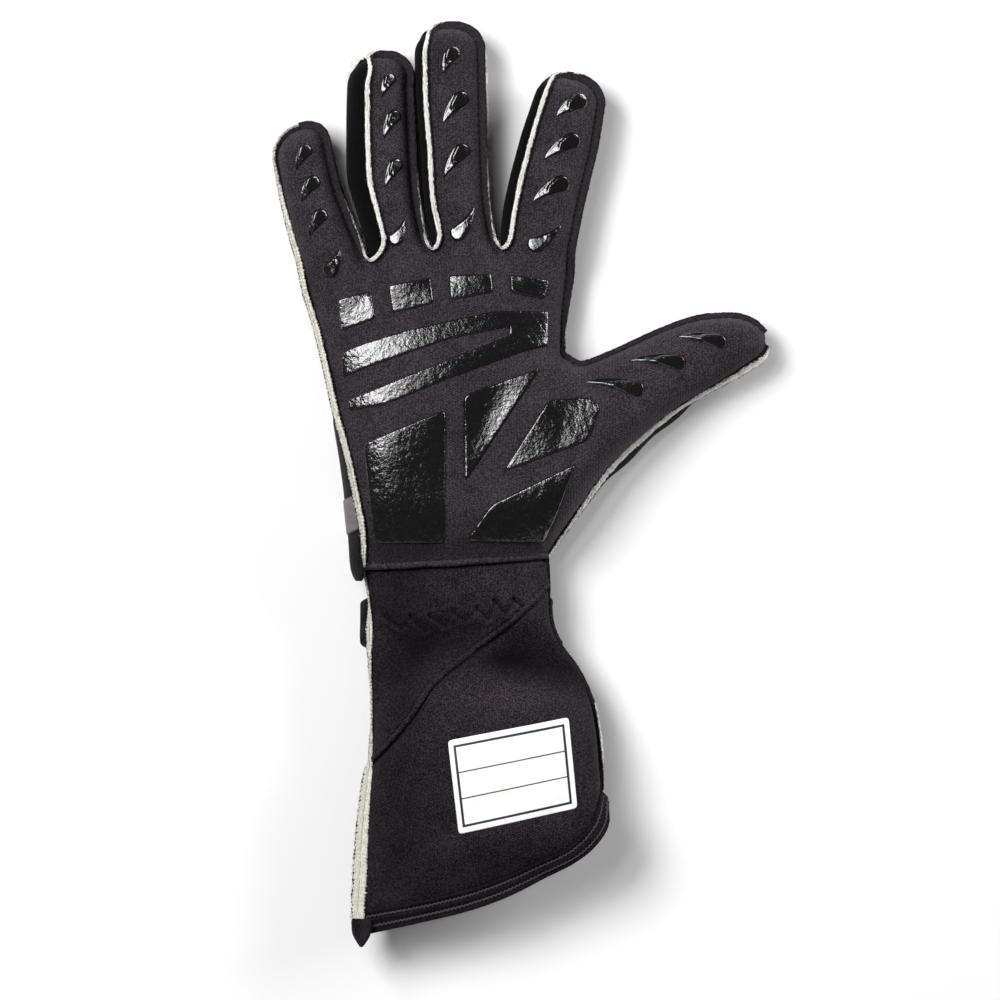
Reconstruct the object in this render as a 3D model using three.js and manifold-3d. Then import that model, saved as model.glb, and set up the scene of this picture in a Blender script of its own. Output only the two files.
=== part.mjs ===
// Right-hand racing glove with a long gauntlet cuff, lying on the back of the hand, palm up.
// Millimetres: X runs towards the thumb, Y towards the fingertips, Z up from the resting surface.
import * as THREE from "three";
import { mergeVertices } from "three/addons/utils/BufferGeometryUtils.js";
import Module from "manifold-3d";

// Cloth and seams
const WALL = 1.6;
const SEAM_INSET = 1.75; // from a panel's cut edge to the seam line
const BUTT_INSET = 0.2; // where two panels meet edge to edge
const HEM_INSET = 0.6; // where the two halves of the hem meet at the sides
const SEAM_WIDTH = 2.0; // both seam allowances together
const SEAM_ROOT = -1.2; // the seam allowances start this far under the surface
const PAD_GAP = 0.3;
const PAD_TOP = 1.0;
const LABEL_TOP = 0.9;

// Shape of the sections
const EXPONENT = 2.6; // superellipse of the hand and cuff
const FINGER_EXPONENT = 2.2;
const TIP_LENGTH = 12; // rounded end of a finger
const FLATTEN = 1.2; // depth below the floor that a section is cut off at
const FINGER_MID = 9.5;
const FINGER_RISE = 9.0;
const FINGER_DROP = 10.4; // flattened where it reaches the floor
const COLUMNS = 4; // cloth columns to a finger
const GUSSET_COLUMNS = 3;

// Finger sections from the tip down. Columns: x, y, half width, tilt of the section in degrees.
const FINGERS = {
  little: {
    tip: [-83.6, 133.7],
    sections: [
      [-83.1, 123.8, 9.0, 15],
      [-80.1, 109.5, 9.4, 15],
      [-75.6, 95.2, 10.3, 16],
      [-72.2, 85.9, 10.8, 17],
    ],
    seam: 180,
  },
  ring: {
    tip: [-52.4, 160.9],
    sections: [
      [-54.8, 150.0, 11.2, -3],
      [-54.6, 134.6, 11.8, 0],
      [-54.0, 115.9, 12.2, 3],
      [-50.8, 100.5, 10.8, 7],
      [-48.1, 89.8, 10.4, 11],
    ],
    seam: 104,
  },
  middle: {
    tip: [-27.9, 171.8],
    sections: [
      [-28.7, 161.6, 11.9, 0],
      [-28.3, 144.0, 12.0, 0],
      [-27.2, 125.2, 11.3, 1],
      [-26.1, 106.5, 11.3, 2],
      [-23.1, 92.4, 11.0, 1],
    ],
    seam: 127,
  },
  index: {
    tip: [18.8, 152.8],
    sections: [
      [16.1, 142.9, 12.1, -14],
      [12.2, 127.5, 13.4, -13],
      [8.4, 112.5, 13.5, -12],
      [5.4, 98.2, 13.5, -12],
      [4.2, 89.5, 13.0, -14],
    ],
    seam: 128,
  },
};
// Rows of the rounded fingertip. Columns: distance from the tip, share of the roll of the palm seam,
// share of the spread of the back seam.
const TIP_ROWS = [
  [0.15, 0, 0],
  [1.2, 0, 0],
  [3.6, 0.4, 0.6],
  [7.5, 0.85, 0.85],
  [TIP_LENGTH, 1, 1],
];
const BACK_SPREAD = 40; // degrees from a finger's side round to its back seam
const FINGER_STEP = 12; // between rows along a finger

// Ends of the finger bases from the little finger's side to the index finger's side
const BASES = [
  [-81.2, 73.9],
  [-57.2, 81.0],
  [-33.2, 85.8],
  [-7.3, 86.2],
  [16.7, 79.9],
];
const CROTCH_DIP = 4.5;

// Outlines of the hand, each from the fingers down to the wrist
const LITTLE_SIDE = [
  [-81.2, 73.9],
  [-76.3, 57.8],
  [-72.2, 40.9],
  [-68.8, 24.0],
  [-65.1, 9.0],
  [-62.1, -4.9],
  [-59.8, -17.2],
  [-59.1, -31.1],
];
const THUMB_SIDE = [
  [16.7, 79.9],
  [15.2, 69.8],
  [14.4, 59.6],
  [14.1, 49.1],
  [12.6, 22.1],
  [10.7, -6.0],
  [8.8, -27.0],
];
const WRIST_LINE = [
  [-59.1, -31.1],
  [-26.4, -29.6],
  [8.8, -27.0],
];
const PALM_ROWS = 10;
const WEB_ROW = 3; // the thumb starts below this row

// Thumb sections from its root to its tip.
// Columns: upper seam x, y, lower seam x, y, middle height, rise of the palm side.
const THUMB = [
  [14.1, 49.1, 8.8, -27.0, 10, 14.5],
  [21.6, 44.0, 20.8, -14.2, 10, 14],
  [31.7, 47.4, 33.6, 3.4, 9.5, 13],
  [44.4, 53.1, 45.9, 16.5, 9, 12],
  [57.3, 58.6, 59.1, 28.5, 9, 11],
  [68.4, 61.7, 72.2, 36.8, 9, 10.5],
  [79.0, 62.2, 83.4, 43.9, 9, 9.5],
  [86.8, 59.8, 89.4, 48.2, 9, 6.5],
  [90.8, 56.4, 91.4, 51.8, 9, 1.5],
];

// Height along the hand and cuff. Columns: y, middle height, rise, lift of the underside, bulge of
// the back beyond the little finger's side.
const HEIGHTS = [
  [90, 8.5, 11, 0, 0],
  [60, 9, 15, 0, 0],
  [25, 10, 17, 0, 2.6],
  [-5, 11, 16, 0, 5],
  [-29, 13, 13, 2.8, 3],
  [-66, 14, 13, 2.8, 0],
  [-82, 14, 14.5, 0, 0],
  [-120, 15, 17, 0, 0],
  [-170, 16, 18.5, 0, 0],
];

// Soft folds of the palm side. Columns: x, y, heading in degrees, half length, half width, depth.
const FOLDS = [
  [-26, -45, 3, 30, 4.5, 1.1],
  [-42, -66, 66, 20, 6, 1.0],
  [-6, -70, 38, 20, 6, 1.2],
  [14, -92, 72, 20, 6, 1.0],
  [-44, -128, 84, 24, 7, 1.0],
  [4, -132, 52, 20, 6, 0.8],
  [30, 12, 118, 22, 8, 1.0],
  [-50, 66, 20, 18, 5, 0.5],
];

// Outlines of the cuff
const CUFF_TOP_LEFT = [
  [-59.1, -31.1],
  [-56.8, -43.5],
  [-56.8, -62.2],
  [-55.7, -81.0],
  [-56.1, -103.1],
];
const CUFF_TOP_RIGHT = [
  [8.8, -27.0],
  [9.6, -37.9],
];
const SLANTED_SEAM = [
  [-56.1, -103.1],
  [-42.9, -88.5],
  [-33.9, -74.6],
  [-22.3, -64.9],
  [-0.6, -48.0],
  [9.6, -37.9],
];
const CUFF_LOW_LEFT = [
  [-56.1, -103.1],
  [-57.9, -118.5],
  [-59.4, -137.2],
  [-60.6, -160.5],
];
const CUFF_LOW_RIGHT = [
  [9.6, -37.9],
  [10.6, -53.0],
  [14.8, -62.2],
  [20.6, -70.5],
  [25.2, -81.0],
  [27.6, -94.1],
  [28.7, -107.2],
  [29.4, -114.8],
];
const HEM_LINE = [
  [-60.6, -160.5],
  [-30.9, -154.5],
  [-11.8, -149.2],
  [4.3, -142.1],
  [18.9, -134.6],
  [27.2, -124.1],
  [29.4, -114.8],
];
const HEM_EDGE = [
  [-61.2, -169.1],
  [-38.4, -163.9],
  [-21.6, -159.8],
  [-6.6, -154.5],
  [8.1, -147.0],
  [26.4, -136.1],
  [32.0, -128.0],
  [32.6, -118.6],
];
const CUFF_TOP_ROWS = 4;
const CUFF_LOW_ROWS = 7;

// Wrist strap on the back
const STRAP_TOP = -42.0;
const STRAP_BOTTOM = -62.0;
const STRAP_GAP = 0.3;
const STRAP_RISE = 2.0;

// Raised grip pads. A tear has a pointed tail and a round head. Columns: tail x, y, head x, y, radius.
const TEARS = {
  index: [
    [12.6, 137.2, 21.2, 143.2, 3.2],
    [8.1, 121.1, 18.6, 128.4, 3.2],
    [3.9, 105.4, 14.6, 112.4, 3.2],
    [14.4, 96.8, 4.7, 89.6, 3.0],
  ],
  middle: [
    [-29.4, 153.4, -26.1, 161.2, 2.8],
    [-29.6, 134.6, -22.9, 144.2, 3.0],
    [-29.2, 114.4, -22.5, 124.6, 3.0],
    [-18.2, 103.9, -24.2, 93.8, 3.0],
  ],
  ring: [
    [-52.2, 144.8, -49.6, 151.4, 2.4],
    [-51.6, 129.4, -47.9, 137.6, 2.6],
    [-51.0, 111.0, -47.2, 119.4, 2.6],
    [-44.4, 99.0, -47.6, 91.6, 2.6],
  ],
  little: [
    [-84.6, 117.0, -81.2, 124.6, 2.6],
    [-82.8, 105.0, -78.4, 112.8, 2.8],
    [-79.8, 91.9, -75.6, 100.2, 2.8],
    [-68.8, 88.0, -72.0, 80.2, 2.8],
  ],
  thumb: [
    [23.4, 37.9, 42.6, 35.4, 3.0],
    [40.3, 46.0, 58.0, 45.4, 3.0],
    [58.3, 55.0, 73.6, 53.2, 2.8],
  ],
};
// Flat pads: corner points, and the corner radius first
const BLOCKS = {
  knuckle_pad_1: [1.5, [-69.2, 69.0], [-56.8, 72.3], [-54.9, 61.9], [-68.1, 57.2]],
  knuckle_pad_2: [1.5, [-50.1, 74.2], [-34.4, 77.2], [-33.2, 67.5], [-48.6, 63.8]],
  knuckle_pad_3: [1.5, [-27.6, 77.9], [-11.7, 78.7], [-11.0, 71.6], [-26.8, 68.6]],
  knuckle_pad_4: [1.5, [-4.7, 78.4], [10.0, 76.2], [8.1, 69.0], [-4.3, 71.6]],
  palm_fork_pad: [
    1.2,
    [-67.7, 49.1],
    [-61.3, 51.8],
    [-43.3, 57.4],
    [-10.3, 64.7],
    [9.6, 64.7],
    [9.4, 51.8],
    [-2.8, 48.4],
    [-26.4, 39.8],
    [-51.2, 29.6],
    [-65.2, 27.4],
    [-65.2, 31.5],
    [-55.7, 35.2],
    [-29.4, 45.8],
    [-5.1, 55.5],
    [-4.7, 58.9],
    [-27.9, 54.0],
    [-57.2, 43.9],
    [-67.3, 39.8],
  ],
  palm_outer_pad: [2.5, [-59.4, 15.0], [-28.7, 27.8], [-29.1, -22.1], [-55.2, -22.1]],
  palm_wedge_pad: [2.5, [-21.9, 33.0], [6.9, 43.5], [-21.6, 0.4]],
  palm_heel_pad: [3.0, [-7.3, 4.5], [9.9, 31.6], [25.3, 32.4], [29.1, 28.9], [24.6, 16.1]],
  palm_base_pad: [2.5, [-11.8, -7.9], [20.0, 7.6], [12.0, -13.0], [7.6, -21.9], [-21.2, -21.4]],
};
const LABEL = [1.5, [-27.9, -95.6], [17.1, -87.0], [20.4, -120.8], [-23.8, -130.5]];
const HEM_TAB = [1.6, [-64.4, -169.5], [-62.4, -173.2], [-58.4, -173.0], [-56.4, -169.5]];
const HEM_TAB_BASE = 12.5;
const HEM_TAB_HEIGHT = 6;

// Middle of the glove's outline in the frame of the tables above; the glove is centred on it
const CENTRE = [-0.7, 1.5];

// Materials of the pieces
const MATERIALS = {
  palm: { color: 0x3a353b, roughness: 0.95, metalness: 0 },
  back: { color: 0x141314, roughness: 0.95, metalness: 0 },
  seam: { color: 0xe6e2d6, roughness: 1.0, metalness: 0 },
  grip: { color: 0x0c0c0d, roughness: 0.3, metalness: 0 },
  cuff: { color: 0x2c282e, roughness: 0.95, metalness: 0 },
  hem: { color: 0x171517, roughness: 0.9, metalness: 0 },
  label: { color: 0xf2f2f0, roughness: 0.7, metalness: 0 },
};

const wasm = await Module();
wasm.setup();
const glove = new THREE.Group();
glove.position.set(-CENTRE[0], -CENTRE[1], 0);
const radians = THREE.MathUtils.degToRad;
const mix = THREE.MathUtils.lerp;
const clamp = THREE.MathUtils.clamp;
const smooth = THREE.MathUtils.smoothstep;

// Adds one solid to the glove as a named mesh with its own material.
function add(name, geometry, slot) {
  const mesh = new THREE.Mesh(geometry, new THREE.MeshStandardMaterial(MATERIALS[slot]));
  mesh.name = name;
  glove.add(mesh);
}

// Reads every column of a table at a value of its first column, whichever way that column runs.
function readTable(table, value) {
  const rising = table[1][0] > table[0][0];
  let row = 1;
  while (row < table.length - 1 && (rising ? value > table[row][0] : value < table[row][0])) row += 1;
  const [low, high] = [table[row - 1], table[row]];
  const share = clamp((value - low[0]) / (high[0] - low[0]), 0, 1);
  return low.map((entry, column) => mix(entry, high[column], share));
}

// Point at a share of the length of an outline.
function along(points, share) {
  const lengths = [0];
  for (let i = 1; i < points.length; i += 1) {
    const [a, b] = [points[i - 1], points[i]];
    lengths.push(lengths[i - 1] + Math.hypot(...a.map((entry, axis) => b[axis] - entry)));
  }
  const rows = points.map((point, i) => [lengths[i], ...point]);
  return readTable(rows, share * lengths[lengths.length - 1]).slice(1);
}

// Fills the space between four outlines; across runs left to right, down runs top to bottom.
function patch(top, bottom, left, right) {
  return (across, down) =>
    [0, 1].map((axis) => {
      const between = mix(along(top, across)[axis], along(bottom, across)[axis], down);
      const sides = mix(along(left, down)[axis], along(right, down)[axis], across);
      const upper = mix(top[0][axis], top[top.length - 1][axis], across);
      const lower = mix(bottom[0][axis], bottom[bottom.length - 1][axis], across);
      return between + sides - mix(upper, lower, down);
    });
}

// Superellipse factors at an angle.
function squash(value, exponent) {
  return Math.sign(value) * Math.abs(value) ** (2 / exponent);
}

// Height factor at a sideways position from -1 to 1.
function dome(position, exponent) {
  return Math.max(0, 1 - Math.abs(position) ** exponent) ** (1 / exponent);
}

// A sheet of cloth: corner points and the four-sided cells between them, wound anticlockwise when
// seen from outside. Points that coincide are shared.
class Sheet {
  constructor() {
    this.points = [];
    this.cells = [];
    this.index = new Map();
  }

  vertex(point) {
    const key = Sheet.key(point);
    if (!this.index.has(key)) {
      this.index.set(key, this.points.length);
      this.points.push(new THREE.Vector3(...point));
    }
    return this.index.get(key);
  }

  // Adds a grid of rows of points; flip turns its outer face over.
  grid(rows, flip = false) {
    for (let i = 1; i < rows.length; i += 1) {
      for (let j = 1; j < rows[i].length; j += 1) {
        const corners = [rows[i - 1][j - 1], rows[i][j - 1], rows[i][j], rows[i - 1][j]];
        const cell = [...new Set(corners.map((corner) => this.vertex(corner)))];
        this.cells.push(flip ? cell.reverse() : cell);
      }
    }
    return this;
  }

  normals() {
    const normals = this.points.map(() => new THREE.Vector3());
    for (const cell of this.cells) {
      const normal = this.cellNormal(cell);
      for (const corner of cell) normals[corner].add(normal);
    }
    return normals.map((normal) => normal.normalize());
  }

  cellNormal(cell) {
    const [a, b, c, d = a] = cell.map((corner) => this.points[corner]);
    return c.clone().sub(a).cross(d.clone().sub(b)).multiplyScalar(cell.length === 4 ? 0.5 : -0.5);
  }

  // Edges that only one cell uses, in that cell's order.
  border() {
    const edges = new Map();
    for (const cell of this.cells) {
      cell.forEach((from, i) => {
        const to = cell[(i + 1) % cell.length];
        if (!edges.delete(`${to},${from}`)) edges.set(`${from},${to}`, [from, to]);
      });
    }
    return [...edges.values()];
  }

  // Moves the sheet's edge inwards by the inset that the given function names for a point.
  trim(insetAt) {
    const normals = this.normals();
    const moves = new Map();
    for (const [from, to] of this.border()) {
      const edge = this.points[to].clone().sub(this.points[from]).normalize();
      for (const corner of [from, to]) {
        const inward = normals[corner].clone().cross(edge).normalize();
        if (!moves.has(corner)) moves.set(corner, []);
        moves.get(corner).push(inward);
      }
    }
    for (const [corner, [first, second]] of moves) {
      const inward = first.clone().add(second).normalize();
      const reach = Math.min(1 / Math.max(inward.dot(first), 0.1), 1.4);
      this.points[corner].addScaledVector(inward, insetAt(this.points[corner]) * reach);
      this.points[corner].z = Math.max(0, this.points[corner].z);
    }
    return this;
  }

  // Closed solid between two distances along the sheet's normals.
  solid(outer, inner) {
    const normals = this.normals();
    const layers = [outer, inner].map((distance) =>
      this.points.map((point, i) => point.clone().addScaledVector(normals[i], distance)),
    );
    const count = this.points.length;
    const corners = layers.flat();
    const triangles = [];
    for (const cell of this.cells) {
      for (let i = 2; i < cell.length; i += 1) {
        triangles.push([cell[0], cell[i - 1], cell[i]]);
        triangles.push([cell[0] + count, cell[i] + count, cell[i - 1] + count]);
      }
    }
    for (const [from, to] of this.border()) {
      triangles.push([from, from + count, to + count]);
      triangles.push([from, to + count, to]);
    }
    return geometryOf(corners, triangles);
  }

  static key(point) {
    const [x, y, z] = point.isVector3 ? point.toArray() : point;
    return [x, y, z].map((entry) => Math.round(entry * 200)).join(",");
  }
}

function geometryOf(corners, triangles) {
  const positions = triangles.flat().flatMap((corner) => corners[corner].toArray());
  const geometry = new THREE.BufferGeometry();
  geometry.setAttribute("position", new THREE.Float32BufferAttribute(positions, 3));
  geometry.computeVertexNormals();
  return geometry;
}

// Fingers

// One point of a finger section, at an angle from the thumb side over the palm side.
function fingerPoint(section, angle) {
  const [x, y, half, tilt, rise] = section;
  const out = half * squash(Math.cos(radians(angle)), FINGER_EXPONENT);
  const up = squash(Math.sin(radians(angle)), FINGER_EXPONENT);
  const depth = (rise * FINGER_DROP) / FINGER_RISE;
  const height = FINGER_MID + up * (up > 0 ? rise : depth);
  return [x + out * Math.cos(radians(tilt)), y + out * Math.sin(radians(tilt)), Math.max(0, height)];
}

// Rows of a finger from tip to base: its section, and the angles of its seams.
function fingerRows({ tip, sections, seam }, isLittle, isIndex) {
  const [firstX, firstY, firstHalf, firstTilt] = sections[0];
  const rows = TIP_ROWS.map(([distance, roll, spread]) => {
    const share = distance / TIP_LENGTH;
    const round = distance === TIP_ROWS[0][0] ? 0.3 : (1 - (1 - share) ** 2.3) ** (1 / 2.3);
    const rise = distance === TIP_ROWS[0][0] ? 0 : FINGER_RISE * round;
    const [x, y] = [mix(tip[0], firstX, share), mix(tip[1], firstY, share)];
    return { section: [x, y, firstHalf * round, firstTilt, rise], roll, spread };
  });
  const last = sections[sections.length - 1];
  const table = sections.map(([x, y, half, tilt]) => [y, x, y, half, tilt]);
  const steps = Math.round((firstY - last[1]) / FINGER_STEP);
  for (let i = 1; i <= steps; i += 1) {
    const [, x, y, half, tilt] = readTable(table, mix(firstY, last[1], i / steps));
    rows.push({ section: [x, y, half, tilt, FINGER_RISE], roll: 1, spread: 1 });
  }
  return rows.map(({ section, roll, spread }) => ({
    section,
    palmLeft: 180 - (180 - seam) * roll,
    palmRight: 0,
    backLeft: 180 + (isLittle ? 0 : BACK_SPREAD * spread),
    backRight: 360 - (isIndex ? 0 : BACK_SPREAD * spread),
  }));
}

function arc(section, from, to, columns) {
  const points = [];
  for (let i = 0; i <= columns; i += 1) points.push(fingerPoint(section, mix(from, to, i / columns)));
  return points;
}

// Depth of the soft folds at a place on the palm side.
function foldDepth(x, y) {
  return FOLDS.reduce((sum, [foldX, foldY, heading, halfLength, halfWidth, depth]) => {
    const [cos, sin] = [Math.cos(radians(heading)), Math.sin(radians(heading))];
    const run = ((x - foldX) * cos + (y - foldY) * sin) / halfLength;
    const across = ((y - foldY) * cos - (x - foldX) * sin) / halfWidth;
    return sum + depth * Math.exp(-(run ** 4) - across ** 2);
  }, 0);
}

// Hand

const handPatch = patch(BASES, WRIST_LINE, LITTLE_SIDE, THUMB_SIDE);
const handColumns = 4 * COLUMNS;
const baseShares = BASES.map((base, i) => {
  const reach = (end) => Math.hypot(end[0] - BASES[0][0], end[1] - BASES[0][1]);
  return i === 0 ? 0 : reach(base) / reach(BASES[4]);
});

// Width of the hand with the back's bulge, that bulge, and the angle at which the side seam lies.
function handSpan(down) {
  const seamSide = along(LITTLE_SIDE, down);
  const bulge = readTable(HEIGHTS, seamSide[1])[4];
  const width = along(THUMB_SIDE, down)[0] - seamSide[0] + bulge;
  const start = Math.acos(clamp(1 - (2 * bulge) / width, 0, 1) ** (EXPONENT / 2));
  return { width, bulge, start };
}

// Sideways share of a column of the hand, with the crotches on whole fingers at the top row.
function columnShare(column, down) {
  const { width, bulge, start } = handSpan(down);
  const finger = Math.min(3, Math.floor(column / COLUMNS));
  const even = mix(baseShares[finger], baseShares[finger + 1], column / COLUMNS - finger);
  const turn = column / handColumns;
  const angle = turn < 0.5 ? mix(start, Math.PI / 2, 2 * turn) : Math.PI * turn;
  const rounded = ((width / 2) * (1 - squash(Math.cos(angle), EXPONENT)) - bulge) / (width - bulge);
  const open = smooth(down, 0, 0.4);
  const thumbShare = thumbOpening(down);
  const side = column > handColumns / 2 ? mix(rounded, column / handColumns, thumbShare) : rounded;
  return mix(even, side, open);
}

// How far the thumb's side of the hand is open into the thumb, 0 to 1.
function thumbOpening(down) {
  const web = WEB_ROW / PALM_ROWS;
  return down < web ? 0 : dome((2 * (down - web)) / (1 - web) - 1, EXPONENT);
}

// Dip of the cloth at the crotches between the fingers.
function crotchDip(column, down) {
  const finger = column / COLUMNS;
  if (finger < 0.5 || finger > 3.5) return 0;
  return CROTCH_DIP * Math.cos(Math.PI * finger) ** 4 * (1 - smooth(down, 0, 0.25));
}

// Point of the hand's palm side or underside; column 0 is the little finger's side.
function handPoint(column, down, isPalm) {
  const share = columnShare(column, down);
  const [x, y] = handPatch(share, down);
  const [, middle, rise, lift] = readTable(HEIGHTS, y);
  const { width, bulge } = handSpan(down);
  const across = (2 * (share * (width - bulge) + bulge)) / width - 1;
  const opening = across > 0 ? thumbOpening(down) : 0;
  const closed = dome(across, EXPONENT);
  const factor = mix(closed, across > 0 ? 1 - 0.15 * across ** 2 : closed, opening);
  if (isPalm) return [x, y, middle + (rise - foldDepth(x, y)) * factor - crotchDip(column, down)];
  const floor = Math.max(lift, middle - middle * FLATTEN * factor);
  return [x, y, Math.min(middle, floor + crotchDip(column, down))];
}

// Underside row, which runs round the bulge beyond the little finger's side.
function undersideRow(down) {
  const row = [];
  for (let column = 0; column <= handColumns; column += 1) row.push(handPoint(column, down, false));
  const seam = handPoint(0, down, true);
  const [, middle, rise, lift] = readTable(HEIGHTS, seam[1]);
  const { width, bulge, start } = handSpan(down);
  const half = handColumns / 2;
  for (let column = 0; column < half; column += 1) {
    const angle = mix(-start, Math.PI / 2, column / half);
    const out = (width / 2) * (1 - squash(Math.cos(angle), EXPONENT)) - bulge;
    const fall = squash(Math.sin(angle), EXPONENT);
    const height = fall < 0 ? middle - rise * fall : middle - middle * FLATTEN * fall;
    const turned = [seam[0] + out, row[column][1], Math.max(lift, height)];
    const share = smooth(down, 0.3, 0.5);
    row[column] = row[column].map((entry, axis) => mix(entry, turned[axis], share));
  }
  row[0] = seam;
  return row;
}

// Thumb

function thumbPoint(station, across, isPalm) {
  const [upperX, upperY, lowerX, lowerY, middle, rise] = THUMB[station];
  const rounded = (1 - squash(Math.cos(Math.PI * across), FINGER_EXPONENT)) / 2;
  const share = mix(across, rounded, smooth(station, 0, 3));
  const factor = dome(2 * share - 1, EXPONENT);
  const [x, y] = [mix(upperX, lowerX, share), mix(upperY, lowerY, share)];
  if (station === THUMB.length - 1) return [x, y, middle];
  const height = isPalm ? (rise - foldDepth(x, y)) * factor : -middle * FLATTEN * factor;
  return [x, y, Math.max(0, middle + height)];
}

// Columns of the thumb's grid: the first is the hand's own edge below the web.
function thumbStations(handRows, isPalm) {
  const rootRows = handRows.slice(WEB_ROW);
  const stations = [rootRows.map((row) => row[row.length - 1])];
  for (let station = 1; station < THUMB.length; station += 1) {
    stations.push(rootRows.map((_, i) => thumbPoint(station, i / (rootRows.length - 1), isPalm)));
  }
  return stations;
}

// Cuff

const cuffTopPatch = patch(WRIST_LINE, SLANTED_SEAM, CUFF_TOP_LEFT, CUFF_TOP_RIGHT);
const cuffLowPatch = patch(SLANTED_SEAM, HEM_LINE, CUFF_LOW_LEFT, CUFF_LOW_RIGHT);
const hemPatch = patch(HEM_LINE, HEM_EDGE, [HEM_LINE[0], HEM_EDGE[0]], [HEM_LINE[6], HEM_EDGE[7]]);
const cuffColumns = 12;

function cuffRow(area, down, isPalm, [from, to] = [0, 1]) {
  const row = [];
  for (let column = 0; column <= cuffColumns; column += 1) {
    const turn = mix(from, to, column / cuffColumns);
    const across = -squash(Math.cos(Math.PI * turn), EXPONENT);
    const [x, y] = area((across + 1) / 2, down);
    const [, middle, rise, lift] = readTable(HEIGHTS, y);
    const factor = dome(across, EXPONENT);
    const top = middle + (rise - foldDepth(x, y)) * factor;
    row.push([x, y, isPalm ? top : Math.max(lift, middle - middle * FLATTEN * factor)]);
  }
  return row;
}

function cuffRows(area, count, isPalm) {
  const rows = [];
  for (let i = 0; i <= count; i += 1) rows.push(cuffRow(area, i / count, isPalm));
  return rows;
}

// Lays out every panel before its edges are trimmed.
const names = Object.keys(FINGERS);
const fingers = names.map((name) => fingerRows(FINGERS[name], name === "little", name === "index"));

function handRows(isPalm) {
  const rows = [];
  for (let i = 0; i <= PALM_ROWS; i += 1) {
    const down = i / PALM_ROWS;
    const row = [];
    for (let column = 0; column <= handColumns; column += 1) row.push(handPoint(column, down, true));
    rows.push(isPalm ? row : undersideRow(down));
  }
  const middleOf = (row) => readTable(HEIGHTS, row[row.length - 1][1])[1];
  for (const row of [...rows.slice(0, WEB_ROW + 1), rows[PALM_ROWS]]) {
    row[handColumns][2] = middleOf(row);
  }
  return rows;
}

const palmHand = handRows(true);
const backHand = handRows(false);
const fingerBase = (rows, i) => rows[0].slice(i * COLUMNS, (i + 1) * COLUMNS + 1);

const sheets = {
  palm_panel: new Sheet().grid(palmHand),
  back_panel: new Sheet().grid(backHand, true),
  thumb_back: new Sheet().grid(thumbStations(backHand, false)),
};
const arcsOf = (rows, from, to) => rows.map((row) => arc(row.section, row[from], row[to], COLUMNS));
const palmArcs = fingers.map((rows) => arcsOf(rows, "palmLeft", "palmRight"));
const backArcs = fingers.map((rows) => arcsOf(rows, "backLeft", "backRight"));
palmArcs.forEach((rows, i) => sheets.palm_panel.grid([...rows, fingerBase(palmHand, i)]));
backArcs.forEach((rows, i) => sheets.back_panel.grid([...rows, fingerBase(backHand, i)], true));
sheets.palm_panel.grid(thumbStations(palmHand, true), true);

// Gusset between two fingers: down the first finger's side, round the crotch and up the next.
function gussetRows(i) {
  const sideOf = (finger, from, to) =>
    finger.slice(2).map((row) => arc(row.section, from(row), to(row), GUSSET_COLUMNS));
  const first = sideOf(fingers[i], (row) => row.palmRight, (row) => row.backRight - 360);
  const next = sideOf(fingers[i + 1], (row) => row.palmLeft, (row) => row.backLeft);
  const top = palmHand[0][(i + 1) * COLUMNS];
  const bottom = backHand[0][(i + 1) * COLUMNS];
  const crotch = [];
  for (let j = 0; j <= GUSSET_COLUMNS; j += 1) {
    crotch.push(top.map((entry, axis) => mix(entry, bottom[axis], j / GUSSET_COLUMNS)));
  }
  return [...first, crotch, ...next.reverse()];
}
const gussets = names.slice(1).map((_, i) => gussetRows(i));
gussets.forEach((rows, i) => {
  sheets[`fourchette_${names[i]}_${names[i + 1]}`] = new Sheet().grid(rows);
});

sheets.cuff_wrist_palm = new Sheet().grid(cuffRows(cuffTopPatch, CUFF_TOP_ROWS, true));
sheets.cuff_lower_palm = new Sheet().grid(cuffRows(cuffLowPatch, CUFF_LOW_ROWS, true));
sheets.cuff_back = new Sheet()
  .grid(cuffRows(cuffTopPatch, CUFF_TOP_ROWS, false), true)
  .grid(cuffRows(cuffLowPatch, CUFF_LOW_ROWS, false), true);
sheets.hem_palm = new Sheet().grid(cuffRows(hemPatch, 1, true));
sheets.hem_back = new Sheet().grid(cuffRows(hemPatch, 1, false), true);

// Mean outward direction of all the cloth that meets at a point.
const outward = new Map();
for (const sheet of Object.values(sheets)) {
  sheet.normals().forEach((normal, i) => {
    const key = Sheet.key(sheet.points[i]);
    if (!outward.has(key)) outward.set(key, new THREE.Vector3());
    outward.get(key).add(normal);
  });
}

// Raised seam allowances along a line of points, standing out from the cloth.
function seamStrip(line, rise, width = SEAM_WIDTH) {
  const stations = line.map((point) => new THREE.Vector3(...point));
  const rings = stations.map((point, i) => {
    const before = stations[Math.max(i - 1, 0)];
    const after = stations[Math.min(i + 1, stations.length - 1)];
    const run = after.clone().sub(before).normalize();
    const out = (outward.get(Sheet.key(point)) ?? new THREE.Vector3(0, 0, 1)).clone();
    out.addScaledVector(run, -out.dot(run)).normalize();
    const side = out.clone().cross(run).multiplyScalar(width / 2);
    const root = point.clone().addScaledVector(out, SEAM_ROOT);
    const edge = point.clone().addScaledVector(out, rise);
    return [root.clone().sub(side), root.clone().add(side), edge.clone().add(side), edge.clone().sub(side)];
  });
  const triangles = [];
  for (let i = 1; i < rings.length; i += 1) {
    for (let j = 0; j < 4; j += 1) {
      const [a, b] = [4 * (i - 1) + j, 4 * (i - 1) + ((j + 1) % 4)];
      triangles.push([a, b, b + 4], [a, b + 4, a + 4]);
    }
  }
  const end = 4 * (rings.length - 1);
  triangles.push([0, 2, 1], [0, 3, 2], [end, end + 1, end + 2], [end, end + 2, end + 3]);
  return geometryOf(rings.flat(), triangles);
}

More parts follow.
